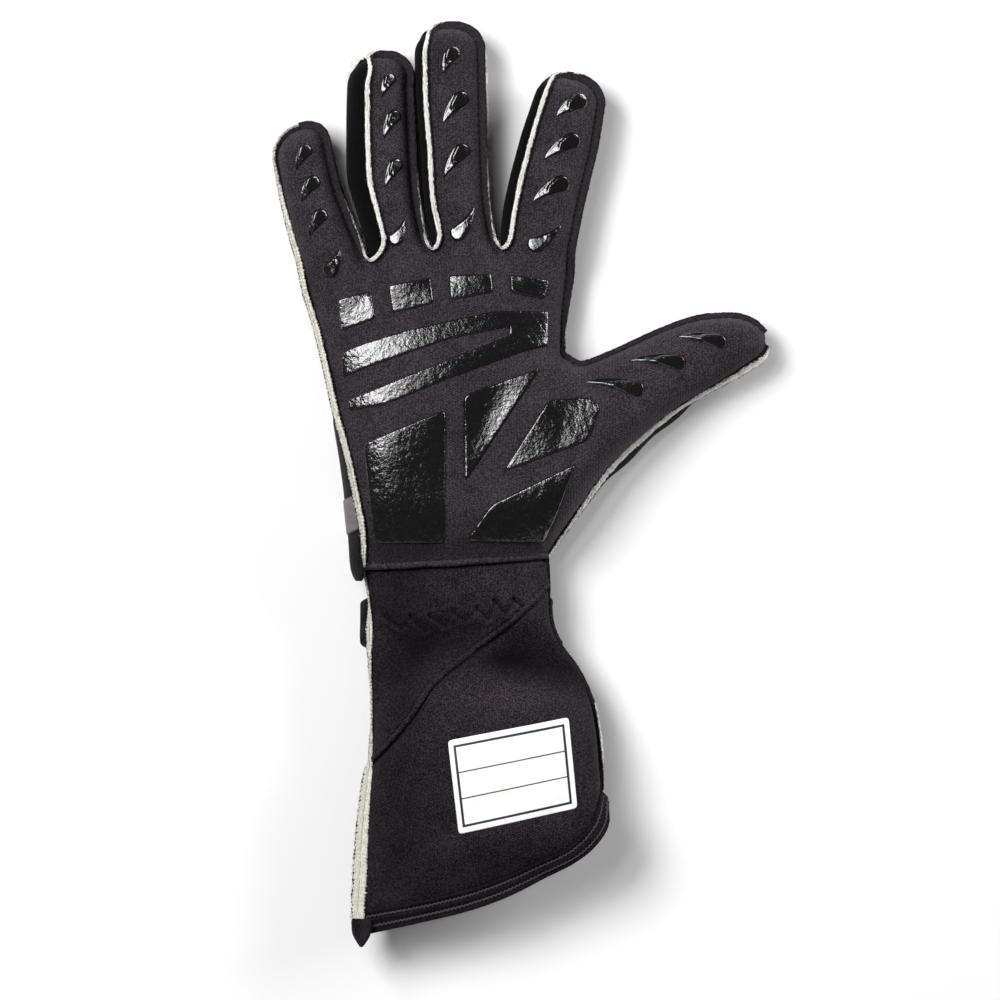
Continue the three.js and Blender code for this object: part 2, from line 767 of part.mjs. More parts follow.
// Runs of points that the seams follow
const tipHalf = COLUMNS / 2;
const leftOf = (rows) => rows.map((row) => row[0]);
const rightOf = (rows) => rows.map((row) => row[row.length - 1]);
const tipLeft = (rows) => rows[0].slice(1, tipHalf).reverse();
const tipRight = (rows) => rows[0].slice(tipHalf + 1, COLUMNS);

const palmSeam = (i) => [
  ...tipRight(palmArcs[i]),
  ...rightOf(palmArcs[i]),
  palmHand[0][(i + 1) * COLUMNS],
  ...leftOf(palmArcs[i + 1]).reverse(),
  ...tipLeft(palmArcs[i + 1]).reverse(),
];
const backSeam = (i) => [
  ...rightOf(backArcs[i]).slice(3),
  backHand[0][(i + 1) * COLUMNS],
  ...leftOf(backArcs[i + 1])
    .slice(3)
    .reverse(),
];
const thumbGrid = thumbStations(palmHand, true);
const sideSeam = [...tipLeft(palmArcs[0]), ...leftOf(palmArcs[0]), ...leftOf(palmHand)];
const webSeam = [
  ...tipRight(palmArcs[3]),
  ...rightOf(palmArcs[3]),
  ...rightOf(palmHand).slice(0, WEB_ROW + 1),
  ...thumbGrid.slice(1).map((station) => station[0]),
];
const thumbSeam = thumbGrid.map((station) => station[station.length - 1]).reverse();
const cuffEdge = (side) => [
  ...side(cuffRows(cuffTopPatch, CUFF_TOP_ROWS, true)),
  ...side(cuffRows(cuffLowPatch, CUFF_LOW_ROWS, true)).slice(1),
];

const seams = [
  ["side_seam", sideSeam.slice(0, -1), 2.8],
  ["index_thumb_seam", webSeam, 2.2],
  ["thumb_seam", thumbSeam.slice(0, -1), 2.6],
  ["cuff_left_seam", cuffEdge(leftOf).slice(1), 2.4],
  ["cuff_right_seam", cuffEdge(rightOf).slice(1), 1.4],
  ["wrist_welt", palmHand[PALM_ROWS].slice(1, -1), 1.0],
];
for (let i = 0; i < 3; i += 1) {
  seams.push([`finger_seam_${names[i]}_${names[i + 1]}`, palmSeam(i), 2.2]);
  seams.push([`back_seam_${names[i]}_${names[i + 1]}`, backSeam(i), 1.0]);
}
seams.forEach(([name, line, rise]) => {
  add(name, seamStrip(line, rise), name === "wrist_welt" ? "cuff" : "seam");
});

// Panels: which edges meet a raised seam and which meet another panel edge to edge
const buttEdges = {
  back_panel: (point) => point.z < 7 && (point.y < -20 || point.x > 5) && point.y < 60,
  thumb_back: (point) => point.z < 7 && point.x < 20,
  cuff_back: (point) => point.z < 9,
  cuff_wrist_palm: (point) => point.z > 15 && point.y < -36,
  cuff_lower_palm: (point) => point.z > 17,
};
const insetOf = (name, point) => {
  if (name.startsWith("hem")) return HEM_INSET;
  return buttEdges[name]?.(point) ? BUTT_INSET : SEAM_INSET;
};
const materialOf = (name) => {
  if (name.startsWith("palm")) return "palm";
  if (name.startsWith("hem")) return "hem";
  if (name.includes("palm")) return "cuff";
  return "back";
};
for (const [name, sheet] of Object.entries(sheets)) {
  sheet.trim((point) => insetOf(name, point));
  add(name, sheet.solid(0, -WALL), materialOf(name));
}

// Raised pads and the label: an outline cut out of a skin that lies on the cloth

function solidOf(geometry) {
  const bare = geometry.clone();
  bare.deleteAttribute("normal");
  bare.deleteAttribute("uv");
  const merged = mergeVertices(bare, 1e-4);
  const vertProperties = merged.attributes.position.array;
  const triVerts = new Uint32Array(merged.index.array);
  return new wasm.Manifold(new wasm.Mesh({ numProp: 3, vertProperties, triVerts }));
}

function geometryFrom(solid) {
  const { vertProperties, triVerts } = solid.getMesh();
  const geometry = new THREE.BufferGeometry();
  geometry.setAttribute("position", new THREE.BufferAttribute(vertProperties, 3));
  geometry.setIndex(new THREE.BufferAttribute(triVerts, 1));
  geometry.computeVertexNormals();
  return geometry;
}

function cutFrom(skin, shape, curveSegments) {
  const prism = new THREE.ExtrudeGeometry(shape, { depth: 60, bevelEnabled: false, curveSegments });
  return geometryFrom(skin.intersect(solidOf(prism)));
}

function tearShape([tailX, tailY, headX, headY, radius]) {
  const heading = Math.atan2(headY - tailY, headX - tailX);
  const half = Math.PI * 0.55;
  const shape = new THREE.Shape();
  shape.moveTo(tailX, tailY);
  shape.lineTo(headX + radius * Math.cos(heading - half), headY + radius * Math.sin(heading - half));
  shape.absarc(headX, headY, radius, heading - half, heading + half, false);
  shape.closePath();
  return shape;
}

// Polygon whose corners are cut by short curves.
function blockShape([radius, ...corners]) {
  const shape = new THREE.Shape();
  corners.forEach((corner, i) => {
    const before = corners[(i + corners.length - 1) % corners.length];
    const after = corners[(i + 1) % corners.length];
    const toward = (end) => {
      const length = Math.hypot(end[0] - corner[0], end[1] - corner[1]);
      const cut = Math.min(radius, length / 3) / length;
      return [mix(corner[0], end[0], cut), mix(corner[1], end[1], cut)];
    };
    const enter = toward(before);
    if (i === 0) shape.moveTo(...enter);
    else shape.lineTo(...enter);
    shape.quadraticCurveTo(...corner, ...toward(after));
  });
  shape.closePath();
  return shape;
}

const palmSkin = solidOf(sheets.palm_panel.solid(PAD_TOP, PAD_GAP));
for (const [finger, tears] of Object.entries(TEARS)) {
  tears.forEach((tear, i) => add(`grip_${finger}_${i + 1}`, cutFrom(palmSkin, tearShape(tear), 4), "grip"));
}
for (const [name, block] of Object.entries(BLOCKS)) {
  add(name, cutFrom(palmSkin, blockShape(block), 1), "grip");
}
const cuffSkin = solidOf(sheets.cuff_lower_palm.solid(LABEL_TOP, PAD_GAP));
add("label", cutFrom(cuffSkin, blockShape(LABEL), 1), "label");

// Wrist strap: a band of a skin that lies round the back of the cuff
const strapWidth = STRAP_TOP - STRAP_BOTTOM;
const strapBox = new THREE.BoxGeometry(200, strapWidth, 200);
strapBox.translate(0, STRAP_BOTTOM + strapWidth / 2, 0);
const backSkin = solidOf(sheets.cuff_back.solid(STRAP_RISE, STRAP_GAP));
add("wrist_strap", geometryFrom(backSkin.intersect(solidOf(strapBox))), "hem");

const tab = new THREE.ExtrudeGeometry(blockShape(HEM_TAB), { depth: HEM_TAB_HEIGHT, bevelEnabled: false });
tab.translate(0, 0, HEM_TAB_BASE);
add("hem_tab", tab, "hem");

export default glove;
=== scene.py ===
import math

import bpy
import numpy as np
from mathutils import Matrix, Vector, geometry, noise
from mathutils.bvhtree import BVHTree
from mathutils.kdtree import KDTree
from numpy.linalg import norm


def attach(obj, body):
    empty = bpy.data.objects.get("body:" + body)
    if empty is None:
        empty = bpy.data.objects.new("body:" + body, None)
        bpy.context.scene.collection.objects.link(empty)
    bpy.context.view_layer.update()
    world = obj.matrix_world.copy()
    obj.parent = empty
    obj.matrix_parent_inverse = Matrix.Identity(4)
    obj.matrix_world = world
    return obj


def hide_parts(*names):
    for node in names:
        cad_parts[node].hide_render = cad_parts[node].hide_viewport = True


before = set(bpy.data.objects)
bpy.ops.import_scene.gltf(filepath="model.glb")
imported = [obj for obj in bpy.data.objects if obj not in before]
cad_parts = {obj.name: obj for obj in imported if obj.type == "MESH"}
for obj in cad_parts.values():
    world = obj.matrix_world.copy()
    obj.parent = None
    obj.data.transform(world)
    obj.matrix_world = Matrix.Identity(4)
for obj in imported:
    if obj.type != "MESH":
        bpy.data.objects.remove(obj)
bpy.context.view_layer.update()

bl_info = {
    "name": "Racing Glove",
    "version": (1, 0, 0),
    "blender": (4, 5, 0),
    "location": "View3D > Sidebar > Glove",
    "description": "Dresses the right-hand racing glove in knit, raw-edged seams and silicone grips",
    "category": "Object",
}

# Lengths in the tables and functions are millimetres; meshes are made in metres.
MM = 0.001
FLOOR_CLEARANCE = 0.02  # no cloth, seam or stitch lies lower than this

# Sections of the glove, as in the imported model
EXPONENT = 2.6  # of the superellipses that the sections follow
TOP_EXPONENT = 2.05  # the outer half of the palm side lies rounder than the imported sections
CUFF_TOP_EXPONENT = 3.0  # and the thumb's half of the cuff lies fuller
FINGER_EXPONENT = 2.2
TIP_LENGTH = 12.0
TIP_EXPONENT = 2.3
TIP_BLUNT = 0.3  # width share of a finger's first row, which ends it bluntly
FLATTEN = 1.2  # reach of the underside below the middle height, so that it lies flat on the floor
FINGER_MID = 9.5
FINGER_RISE = 9.0
FINGER_DROP = 10.4
BACK_SPREAD = 40.0  # degrees that the back's seams on a finger lie over on its underside
CROTCH_DIP = 4.5
CROTCH_DIP_REACH = 0.14  # share of the hand's length over which the dips fade out
CROTCH_COLUMNS_REACH = 0.4  # and over which the columns leave the crotches for their even rounding
BACK_TURN = (0.3, 0.5)  # shares between which the back begins to run round the little finger's side
SEAM_TURN = 12.0  # degrees that the seam on a finger's thumb side lies over on the palm side
TIP_INSET = 1.0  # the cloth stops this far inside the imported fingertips, for a broad seam edge

# Fineness of the cloth cages
COLUMNS = 10
GUSSET_COLUMNS = 6
FINGER_STEP = 5.0
PALM_ROWS = 30
WEB_ROW = 9  # row of the palm at which the thumb begins
THUMB_STEPS = 3
CUFF_COLUMNS = 36
CUFF_TOP_ROWS = 20
CUFF_LOW_ROWS = 22
HEM_ROWS = 4

# Finger sections. Columns: x, y, half width, tilt in degrees; the tip and the seam's angle come first.
FINGERS = {
    "little": (
        (-83.6, 133.7), 180,
        [(-83.1, 123.8, 9, 15), (-80.1, 109.5, 9.4, 15), (-75.6, 95.2, 10.3, 16), (-72.2, 85.9, 10.8, 17)],
    ),
    "ring": (
        (-52.4, 160.9), 104,
        [(-54.8, 150, 11.2, -3), (-54.6, 134.6, 11.8, 0), (-54, 115.9, 12.2, 3), (-50.8, 100.5, 10.8, 7),
         (-48.1, 89.8, 10.4, 11)],
    ),
    "middle": (
        (-27.9, 171.8), 127,
        [(-28.7, 161.6, 11.9, 0), (-28.3, 144, 12, 0), (-27.2, 125.2, 11.3, 1), (-26.1, 106.5, 11.3, 2),
         (-23.1, 92.4, 11, 1)],
    ),
    "index": (
        (18.8, 152.8), 128,
        [(16.1, 142.9, 12.1, -14), (12.2, 127.5, 13.4, -13), (8.4, 112.5, 13.5, -12), (5.4, 98.2, 13.5, -12),
         (4.2, 89.5, 13, -14)],
    ),
}
NAMES = list(FINGERS)
PAIRS = [f"{first}_{second}" for first, second in zip(NAMES, NAMES[1:])]
FINGER_SEAMS = ["finger_seam_" + pair for pair in PAIRS]
BACK_SEAMS = ["back_seam_" + pair for pair in PAIRS]
CUFF_SEAMS = ["cuff_left_seam", "cuff_right_seam"]
OUTER_SEAMS = ["side_seam", "cuff_left_seam"]  # those that run up the little finger's side of the glove
# Rounded fingertip. Columns: distance from the tip, roll of the palm seam, spread of the back seam.
TIP_TURN = [(0.15, 0, 0), (1.2, 0.5, 0), (3.6, 0.86, 0.6), (7.5, 1, 0.85), (12, 1, 1)]
TIP_DISTANCES = (0.15, 0.6, 1.2, 2.2, 3.6, 5.4, 7.5, 9.6, 12)
GUSSET_ROW = 2  # of these, where a finger's gusset begins

BASES = [(-81.2, 73.9), (-57.2, 81), (-33.2, 85.8), (-7.3, 86.2), (16.7, 79.9)]
LITTLE_SIDE = [(-81.2, 73.9), (-76.3, 57.8), (-72.2, 40.9), (-68.8, 24), (-65.1, 9), (-62.1, -4.9),
               (-59.8, -17.2), (-59.1, -31.1)]
THUMB_SIDE = [(16.7, 79.9), (15.2, 69.8), (14.4, 59.6), (14.1, 49.1), (12.6, 22.1), (10.7, -6), (8.8, -27)]
WRIST_LINE = [(-59.1, -31.1), (-26.4, -29.6), (8.8, -27)]

# Thumb sections. Columns: upper seam x, y, lower seam x, y, middle height, rise of the palm side.
THUMB = [
    (14.1, 49.1, 8.8, -27, 10, 14.5), (21.6, 44, 19.4, -11.6, 10, 14), (31.7, 47.4, 31.6, 5.2, 9.5, 13),
    (44.4, 53.1, 44.6, 17.8, 9, 12), (57.3, 58.6, 58.5, 29.1, 9, 11), (68.4, 61.7, 71.9, 37.2, 9, 10.5),
    (79, 62.2, 83.3, 44.4, 9, 9.5), (86.8, 59.8, 89.6, 49.2, 9, 6.5), (90.8, 56.4, 91.4, 52.4, 9, 1.5),
]
# Fullness of the thumb's back beyond its lower seam. Columns: x, y, radius, reach.
THUMB_FULLNESS = [(24, -8, 12, 3), (40, 9, 14, 5.2), (57, 25, 12, 4.4)]

# Columns: y, middle height, rise, lift of the underside, bulge of the back past the little finger's side.
HEIGHTS = [
    (90, 8.5, 11, 0, 0), (60, 9, 15, 0, 0), (25, 10, 17.5, 0, 2.6), (-5, 11, 16, 0, 5), (-17, 12, 12.8, 1.4, 6),
    (-29, 13, 9.8, 2.8, 5.5), (-45, 13.5, 8.6, 2.8, 2), (-62, 14, 7.2, 2.8, 0), (-82, 14, 12.5, 0, 0),
    (-104, 14.5, 16.8, 0, 0), (-125, 15, 16, 0, 0), (-148, 15.5, 13, 0, 0), (-170, 16, 9.5, 0, 0),
]

# Soft folds of the palm side. Columns: x, y, heading in degrees, half length, half width, depth.
FOLDS = [
    (-26, -45, 3, 30, 4.5, 1.1), (-42, -66, 66, 20, 6, 1), (-6, -70, 38, 20, 6, 1.2), (14, -92, 72, 20, 6, 1),
    (-44, -128, 84, 24, 7, 1), (4, -132, 52, 20, 6, 0.8), (30, 12, 118, 22, 8, 1), (-50, 66, 20, 18, 5, 0.5),
]

# Mounds and hollows of the palm. Columns: x, y, heading, half length, half width, height.
MOUNDS = [
    (34, 4, 52, 34, 20, 7.4), (-55, 4, 82, 24, 12, 2.2), (-15, 24, 66, 24, 11, -4), (-24, 60, 4, 60, 8, -0.9),
    (-60, 70, 70, 9, 9, -0.8), (-28, 84, 0, 9, 7, -0.7), (6, 70, 60, 12, 9, -0.6), (-10, 6, 40, 14, 8, -1.2),
]
# Where the heel of the palm falls away to the wrist, and the folds of the whole cuff, in the same columns
WRIST_FALL = [(-25, -31, 2, 60, 9, -2.6)]
CUFF_FOLDS = [
    (-50, -72, 52, 24, 9, -2), (10, -69, -22, 30, 8, -4.6), (2, -86, -16, 32, 9, 3), (1, -46, 10, 16, 8, 1.8),
    (-40, -92, 58, 22, 6, 1.4), (-52, -118, 84, 26, 8, -2.2), (-34, -132, 72, 24, 8, 1.4), (-44, -146, 60, 18, 6, -1.6),
    (-6, -148, 16, 30, 9, -3.4), (24, -104, 84, 22, 6, -1.8), (-14, -133, 14, 20, 6, 1.2),
]
# Painted light and shade on the cloth: painted shade darkens the hollows and the slopes turned away from the light, and
# painted light brightens a few crests. The same columns, with the change of colour.
PAINTED_SHADING = [
    (-46, -41, 88, 20, 14, -0.55), (-40, -64, 40, 22, 9, -0.5), (-20, -54, 30, 16, 6, -0.18),
    (4, -68, -14, 28, 8, -0.72), (-48, -90, 60, 18, 9, -0.3), (-46, -130, 85, 34, 15, -0.45),
    (-4, -148, 16, 40, 10, -0.35), (-18, -23, 3, 60, 7, -0.34), (-7, -66, 10, 13, 3.5, -0.3),
    (-5, -79, -8, 24, 6, 0.34), (-28, 160, 0, 14, 10, -0.16), (-74, 84, 60, 14, 10, -0.14),
    (-2, -86, -16, 26, 8, 0.12), (24, -112, 86, 26, 5, -0.08), (36, 2, 30, 26, 9, -0.15), (-70, 40, 78, 40, 5, -0.15),
]
# Small upright folds under and over the zigzag, in the columns of the mounds
WRIST_FOLDS = [
    (2, -54, 66, 9, 4, 1.2), (-50, -40, 80, 12, 3, 0.9), (-40, -38, 84, 10, 2.6, -0.8), (-22, -38, 80, 9, 3, -0.7),
    (-6, -37, 78, 9, 2.8, 0.7), (7, -36, 88, 8, 2.4, -0.9), (-48, -64, 76, 12, 3, -0.8), (-39, -60, 66, 12, 3.4, 0.9),
]

CUFF_TOP_LEFT = [(-59.1, -31.1), (-56.8, -43.5), (-56.8, -62.2), (-55.7, -81), (-56.1, -103.1)]
CUFF_TOP_RIGHT = [(8.8, -27), (9.6, -37.9)]
SLANTED_SEAM = [(-56.1, -103.1), (-42.9, -88.5), (-33.9, -74.6), (-22.3, -64.9), (-0.6, -48), (9.6, -37.9)]
CUFF_LOW_LEFT = [(-56.1, -103.1), (-57.9, -118.5), (-59.4, -137.2), (-60.6, -160.5)]
CUFF_LOW_RIGHT = [(9.6, -37.9), (10.6, -53), (14.8, -62.2), (20.6, -70.5), (25.2, -81), (27.6, -94.1),
                  (28.7, -107.2), (29.4, -114.8)]
HEM_LINE = [(-60.6, -160.5), (-30.9, -154.5), (-11.8, -149.2), (4.3, -142.1), (18.9, -134.6), (27.2, -124.1),
            (29.4, -114.8)]
HEM_EDGE = [(-61.2, -169.1), (-38.4, -163.9), (-21.6, -159.8), (-6.6, -154.5), (8.1, -147), (26.4, -136.1),
            (32, -128), (32.6, -118.6)]
STRAP_TOP, STRAP_BOTTOM = -42.0, -62.0

# Grip pads with a pointed tail and a round head. Columns: tail x, y, head x, y, radius.
TEARS = {
    "index": [(12.6, 137.2, 21.2, 143.2, 3.2), (8.1, 121.1, 18.6, 128.4, 3.2), (3.9, 105.4, 14.6, 112.4, 3.2),
              (14.4, 96.8, 4.7, 89.6, 3)],
    "middle": [(-29.4, 153.4, -26.1, 161.2, 2.8), (-29.6, 134.6, -22.9, 144.2, 3),
               (-29.2, 114.4, -22.5, 124.6, 3), (-18.2, 103.9, -24.2, 93.8, 3)],
    "ring": [(-52.2, 144.8, -49.6, 151.4, 2.4), (-51.6, 129.4, -47.9, 137.6, 2.6),
             (-51, 111, -47.2, 119.4, 2.6), (-44.4, 99, -47.6, 91.6, 2.6)],
    "little": [(-84.6, 117, -81.2, 124.6, 2.6), (-82.8, 105, -78.4, 112.8, 2.8),
               (-79.8, 91.9, -75.6, 100.2, 2.8), (-68.8, 88, -72, 80.2, 2.8)],
    "thumb": [(23.4, 37.9, 42.6, 35.4, 3), (40.3, 46, 58, 45.4, 3), (58.3, 55, 73.6, 53.2, 2.8)],
}
# Flat grip pads: corner radius, then corner points
BLOCKS = {
    "knuckle_pad_1": (1.5, [(-69.2, 69), (-56.8, 72.3), (-54.9, 61.9), (-68.1, 57.2)]),
    "knuckle_pad_2": (1.5, [(-50.1, 74.2), (-34.4, 77.2), (-33.2, 67.5), (-48.6, 63.8)]),
    "knuckle_pad_3": (1.5, [(-27.6, 77.9), (-11.7, 78.7), (-11, 71.6), (-26.8, 68.6)]),
    "knuckle_pad_4": (1.5, [(-4.7, 78.4), (10, 76.2), (8.1, 69), (-4.3, 71.6)]),
    "palm_fork_pad": (1.2, [
        (-67.7, 49.1), (-61.3, 51.8), (-43.3, 57.4), (-10.3, 64.7), (9.6, 64.7), (9.4, 51.8), (-2.8, 48.4),
        (-26.4, 39.8), (-51.2, 29.6), (-65.2, 27.4), (-65.2, 31.5), (-55.7, 35.2), (-29.4, 45.8), (-5.1, 55.5),
        (-4.7, 58.9), (-27.9, 54), (-57.2, 43.9), (-67.3, 39.8)]),
    "palm_outer_pad": (2.5, [(-59.4, 15), (-28.7, 27.8), (-29.1, -22.1), (-55.2, -22.1)]),
    "palm_wedge_pad": (2.5, [(-21.9, 33), (6.9, 43.5), (-21.6, 0.4)]),
    "palm_heel_pad": (3, [(-7.3, 4.5), (9.9, 31.6), (25.3, 32.4), (29.1, 28.9), (24.6, 16.1)]),
    "palm_base_pad": (2.5, [(-11.8, -7.9), (20, 7.6), (12, -13), (7.6, -21.9), (-21.2, -21.4)]),
}
LABEL = (1.5, [(-27.9, -95.6), (17.1, -87), (20.4, -120.8), (-23.8, -130.5)])
HEM_ROWS_AT = (1.6, 4.7)  # distances of the stitch rows from the hem's upper edge
LABEL_INSET = (0.05, 0.075)  # shares of the label's width and height that lie outside its ruled frame
LABEL_RULES = (0.33, 0.66)  # shares of the ruled frame's height at which its two dividers lie
FRAME_HALF_WIDTH, RULE_HALF_WIDTH, PRINT_HEIGHT = 0.45, 0.22, 0.03
# Rounded tab at the hem's corner: corner radius, then corner points
HEM_TAB = (3.4, [(-64.2, -161.8), (-64, -168.6), (-60.4, -174.4), (-56.6, -168.6), (-56.2, -162.6)])
STRIPE = (-17.5, -3.5)  # highest and lowest place of the plain stripe on the little finger's side of the back

# Zigzag of elastic stitches: upper and lower turning points
ZIGZAG = [(-51.2, -49.5), (-45.2, -54), (-41.8, -49.5), (-36.6, -54.7), (-34.7, -49.1), (-28.7, -52.9),
          (-26.1, -47.3), (-21.2, -51), (-17.1, -46.1), (-12.6, -50.3), (-10.3, -43.5), (-6.2, -48.4),
          (-3.2, -43.1), (1.5, -46.9)]

CENTRE = (-0.7, 1.5)  # middle of the outline in the frame of the tables


def mix(a, b, share):
    return a + (b - a) * share


def eased(share):
    return share * share * (3 - 2 * share)


def smoothstep(value, low, high):
    return eased(min(1.0, max(0.0, (value - low) / (high - low))))


def squash(value, exponent):
    """Superellipse factor of a sine or cosine."""
    return math.copysign(abs(value) ** (2 / exponent), value)


def dome(position, exponent):
    """Height factor at a sideways position from -1 to 1."""
    return max(0.0, 1 - abs(position) ** exponent) ** (1 / exponent)


def hermite(start, start_slope, end, end_slope, step, t):
    """Place at a share of the smooth curve between two values with given slopes, a step apart."""
    return (
        start * (2 * t ** 3 - 3 * t ** 2 + 1) + start_slope * step * (t ** 3 - 2 * t ** 2 + t)
        + end * (3 * t ** 2 - 2 * t ** 3) + end_slope * step * (t ** 3 - t ** 2)
    )


def run_lengths(line):
    """Length of a line of points up to each of them."""
    return np.concatenate([[0], np.cumsum(norm(np.diff(line, axis=0), axis=1))])


def read_along(rows, lengths, at):
    """The rows of a line, read at lengths along it."""
    return np.stack([np.interp(at, lengths, column) for column in np.transpose(rows)], 1)


def unit(vectors):
    return vectors / norm(vectors, axis=1)[:, None]


def along_across(x, y, heading):
    """Parts of an offset along a heading in degrees and to its left."""
    cos, sin = math.cos(math.radians(heading)), math.sin(math.radians(heading))
    return x * cos + y * sin, y * cos - x * sin


class Table:
    """Rows read at a value of the first column, on smooth curves that don't overshoot."""

    def __init__(self, rows):
        rows = np.array(sorted(rows), float)
        self.knots, self.values = rows[:, 0], rows[:, 1:]
        steps = np.diff(self.knots)[:, None]
        slopes = np.diff(self.values, axis=0) / steps
        self.tangents = np.zeros_like(self.values)
        before, after = slopes[:-1], slopes[1:]
        rising = before * after > 0
        total = np.where(rising, before + after, 1)
        self.tangents[1:-1] = np.where(rising, 2 * before * after / total, 0)
        self.tangents[0], self.tangents[-1] = slopes[0], slopes[-1]

    def __call__(self, value):
        value = min(max(value, self.knots[0]), self.knots[-1])
        i = min(max(int(np.searchsorted(self.knots, value)) - 1, 0), len(self.knots) - 2)
        step = self.knots[i + 1] - self.knots[i]
        t = (value - self.knots[i]) / step
        return hermite(self.values[i], self.tangents[i], self.values[i + 1], self.tangents[i + 1], step, t)

    def columns(self, places):
        return np.array([self(place) for place in places]).T


class Outline:
    """A smooth line through points, read at a share of its length."""

    STEPS = 16  # between two of the points

    def __init__(self, points):
        points = np.array(points, float)
        if len(points) > 2:
            spans = norm(np.diff(points, axis=0), axis=1)
            slopes = np.diff(points, axis=0) / spans[:, None]
            tangents = np.zeros_like(points)
            tangents[0], tangents[-1] = slopes[0], slopes[-1]
            weight = (spans[1:] / (spans[1:] + spans[:-1]))[:, None]
            tangents[1:-1] = slopes[:-1] * weight + slopes[1:] * (1 - weight)
            t = np.linspace(0, 1, self.STEPS + 1)[:-1, None]
            dense = [
                hermite(points[i], tangents[i], points[i + 1], tangents[i + 1], spans[i], t)
                for i in range(len(points) - 1)
            ]
            points = np.concatenate(dense + [points[-1:]])
        self.points = points
        self.lengths = run_lengths(points)

    def __call__(self, share):
        return read_along(self.points, self.lengths, [share * self.lengths[-1]])[0]


def patch(top, bottom, left, right):
    """Fills the space between four outlines; across runs left to right, down runs top to bottom."""
    def at(across, down):
        between = mix(top(across), bottom(across), down)
        sides = mix(left(down), right(down), across)
        upper, lower = mix(top(0), top(1), across), mix(bottom(0), bottom(1), across)
        return between + sides - mix(upper, lower, down)
    return at


class Sheet:
    """A cage of cloth: shared corner points, four-sided cells wound anticlockwise from outside."""

    def __init__(self):
        self.points, self.cells, self.weave, self.index = [], [], [], {}

    @staticmethod
    def key(point):
        return tuple(int(round(entry * 200)) for entry in point)

    def vertex(self, point, weave):
        key = Sheet.key(point)
        if key not in self.index:
            self.index[key] = len(self.points)
            self.points.append(tuple(float(entry) for entry in point))
            self.weave.append(weave)
        return self.index[key]

    def grid(self, rows, flip=False, upright=True):
        """Adds rows of points. The weave runs up the glove and unrolls across each row."""
        laid = []
        for row in rows:
            row = [np.array(point, float) for point in row]
            run = np.concatenate([[0], np.cumsum([norm(b - a) for a, b in zip(row, row[1:])])])
            middle = len(row) // 2
            run = run - run[middle]
            if upright:
                weave = [(row[middle][0] + run[i], row[i][1]) for i in range(len(row))]
            else:
                weave = [(row[i][0], row[middle][1] - run[i]) for i in range(len(row))]
            laid.append([self.vertex(point, weave[i]) for i, point in enumerate(row)])
        for upper, lower in zip(laid, laid[1:]):
            for j in range(1, len(upper)):
                cell = list(dict.fromkeys([upper[j - 1], lower[j - 1], lower[j], upper[j]]))
                if len(cell) > 2:
                    self.cells.append(cell[::-1] if flip else cell)
        return self

    def normals(self):
        points = np.array(self.points)
        normals = np.zeros_like(points)
        for cell in self.cells:
            a, b, c, d = (points[k] for k in (cell if len(cell) == 4 else cell + cell[:1]))
            normal = np.cross(c - a, d - b) if len(cell) == 4 else np.cross(b - a, c - a)
            for corner in cell:
                normals[corner] += normal
        return normals / np.maximum(norm(normals, axis=1), 1e-9)[:, None]


# Fingers

def finger_point(section, angle):
    """Point of a finger section, at an angle from the thumb side over the palm side."""
    x, y, half, tilt, rise = section
    out = half * squash(math.cos(math.radians(angle)), FINGER_EXPONENT)
    up = squash(math.sin(math.radians(angle)), FINGER_EXPONENT)
    height = FINGER_MID + up * (rise if up > 0 else rise * FINGER_DROP / FINGER_RISE)
    turn = math.radians(tilt)
    return (x + out * math.cos(turn), y + out * math.sin(turn), max(0.0, height))


def finger_rows(name):
    """Sections of a finger from its tip to its base, with the angles of its seams."""
    tip, seam, sections = FINGERS[name]
    table = Table([(y, x, half, tilt) for x, y, half, tilt in sections])
    turns = Table(TIP_TURN)
    first_x, first_y, first_half, first_tilt = sections[0]
    lean = math.radians(first_tilt)
    tip = (tip[0] + TIP_INSET * math.sin(lean), tip[1] - TIP_INSET * math.cos(lean))
    rows = []
    for distance in TIP_DISTANCES:
        share = distance / TIP_LENGTH
        blunt = distance == TIP_DISTANCES[0]
        fullness = TIP_BLUNT if blunt else (1 - (1 - share) ** TIP_EXPONENT) ** (1 / TIP_EXPONENT)
        rise = 0.0 if blunt else FINGER_RISE * fullness
        section = (mix(tip[0], first_x, share), mix(tip[1], first_y, share), first_half * fullness, first_tilt, rise)
        rows.append((section, *turns(distance)))
    last_y = sections[-1][1]
    steps = round((first_y - last_y) / FINGER_STEP)
    for i in range(1, steps + 1):
        y = mix(first_y, last_y, i / steps)
        x, half, tilt = table(y)
        rows.append(((x, y, half, tilt, FINGER_RISE), 1.0, 1.0))
    left_spread = 0 if name == "little" else BACK_SPREAD
    right_spread = 0 if name == "index" else BACK_SPREAD
    return [
        {
            "section": section,
            "palm_left": 180 - (180 - seam) * roll,
            "palm_right": SEAM_TURN * roll,
            "back_left": 180 + left_spread * spread,
            "back_right": 360 - right_spread * spread if right_spread else 360 + SEAM_TURN * roll,
        }
        for section, roll, spread in rows
    ]


def arc(section, start, end, columns):
    return [finger_point(section, mix(start, end, i / columns)) for i in range(columns + 1)]


def fold_depth(x, y):
    """Depth of the soft folds at a place on the palm side."""
    depth = 0.0
    for fold_x, fold_y, heading, half_length, half_width, deep in FOLDS:
        run, across = along_across(x - fold_x, y - fold_y, heading)
        depth += deep * math.exp(-((run / half_length) ** 4) - (across / half_width) ** 2)
    return depth


# Hand

heights = Table(HEIGHTS)
little_side, thumb_side = Outline(LITTLE_SIDE), Outline(THUMB_SIDE)
base_line, wrist_line = Outline(BASES), Outline(WRIST_LINE)
hand_patch = patch(base_line, wrist_line, little_side, thumb_side)
HAND_COLUMNS = 4 * COLUMNS
base_shares = base_line.lengths[::Outline.STEPS] / base_line.lengths[-1]


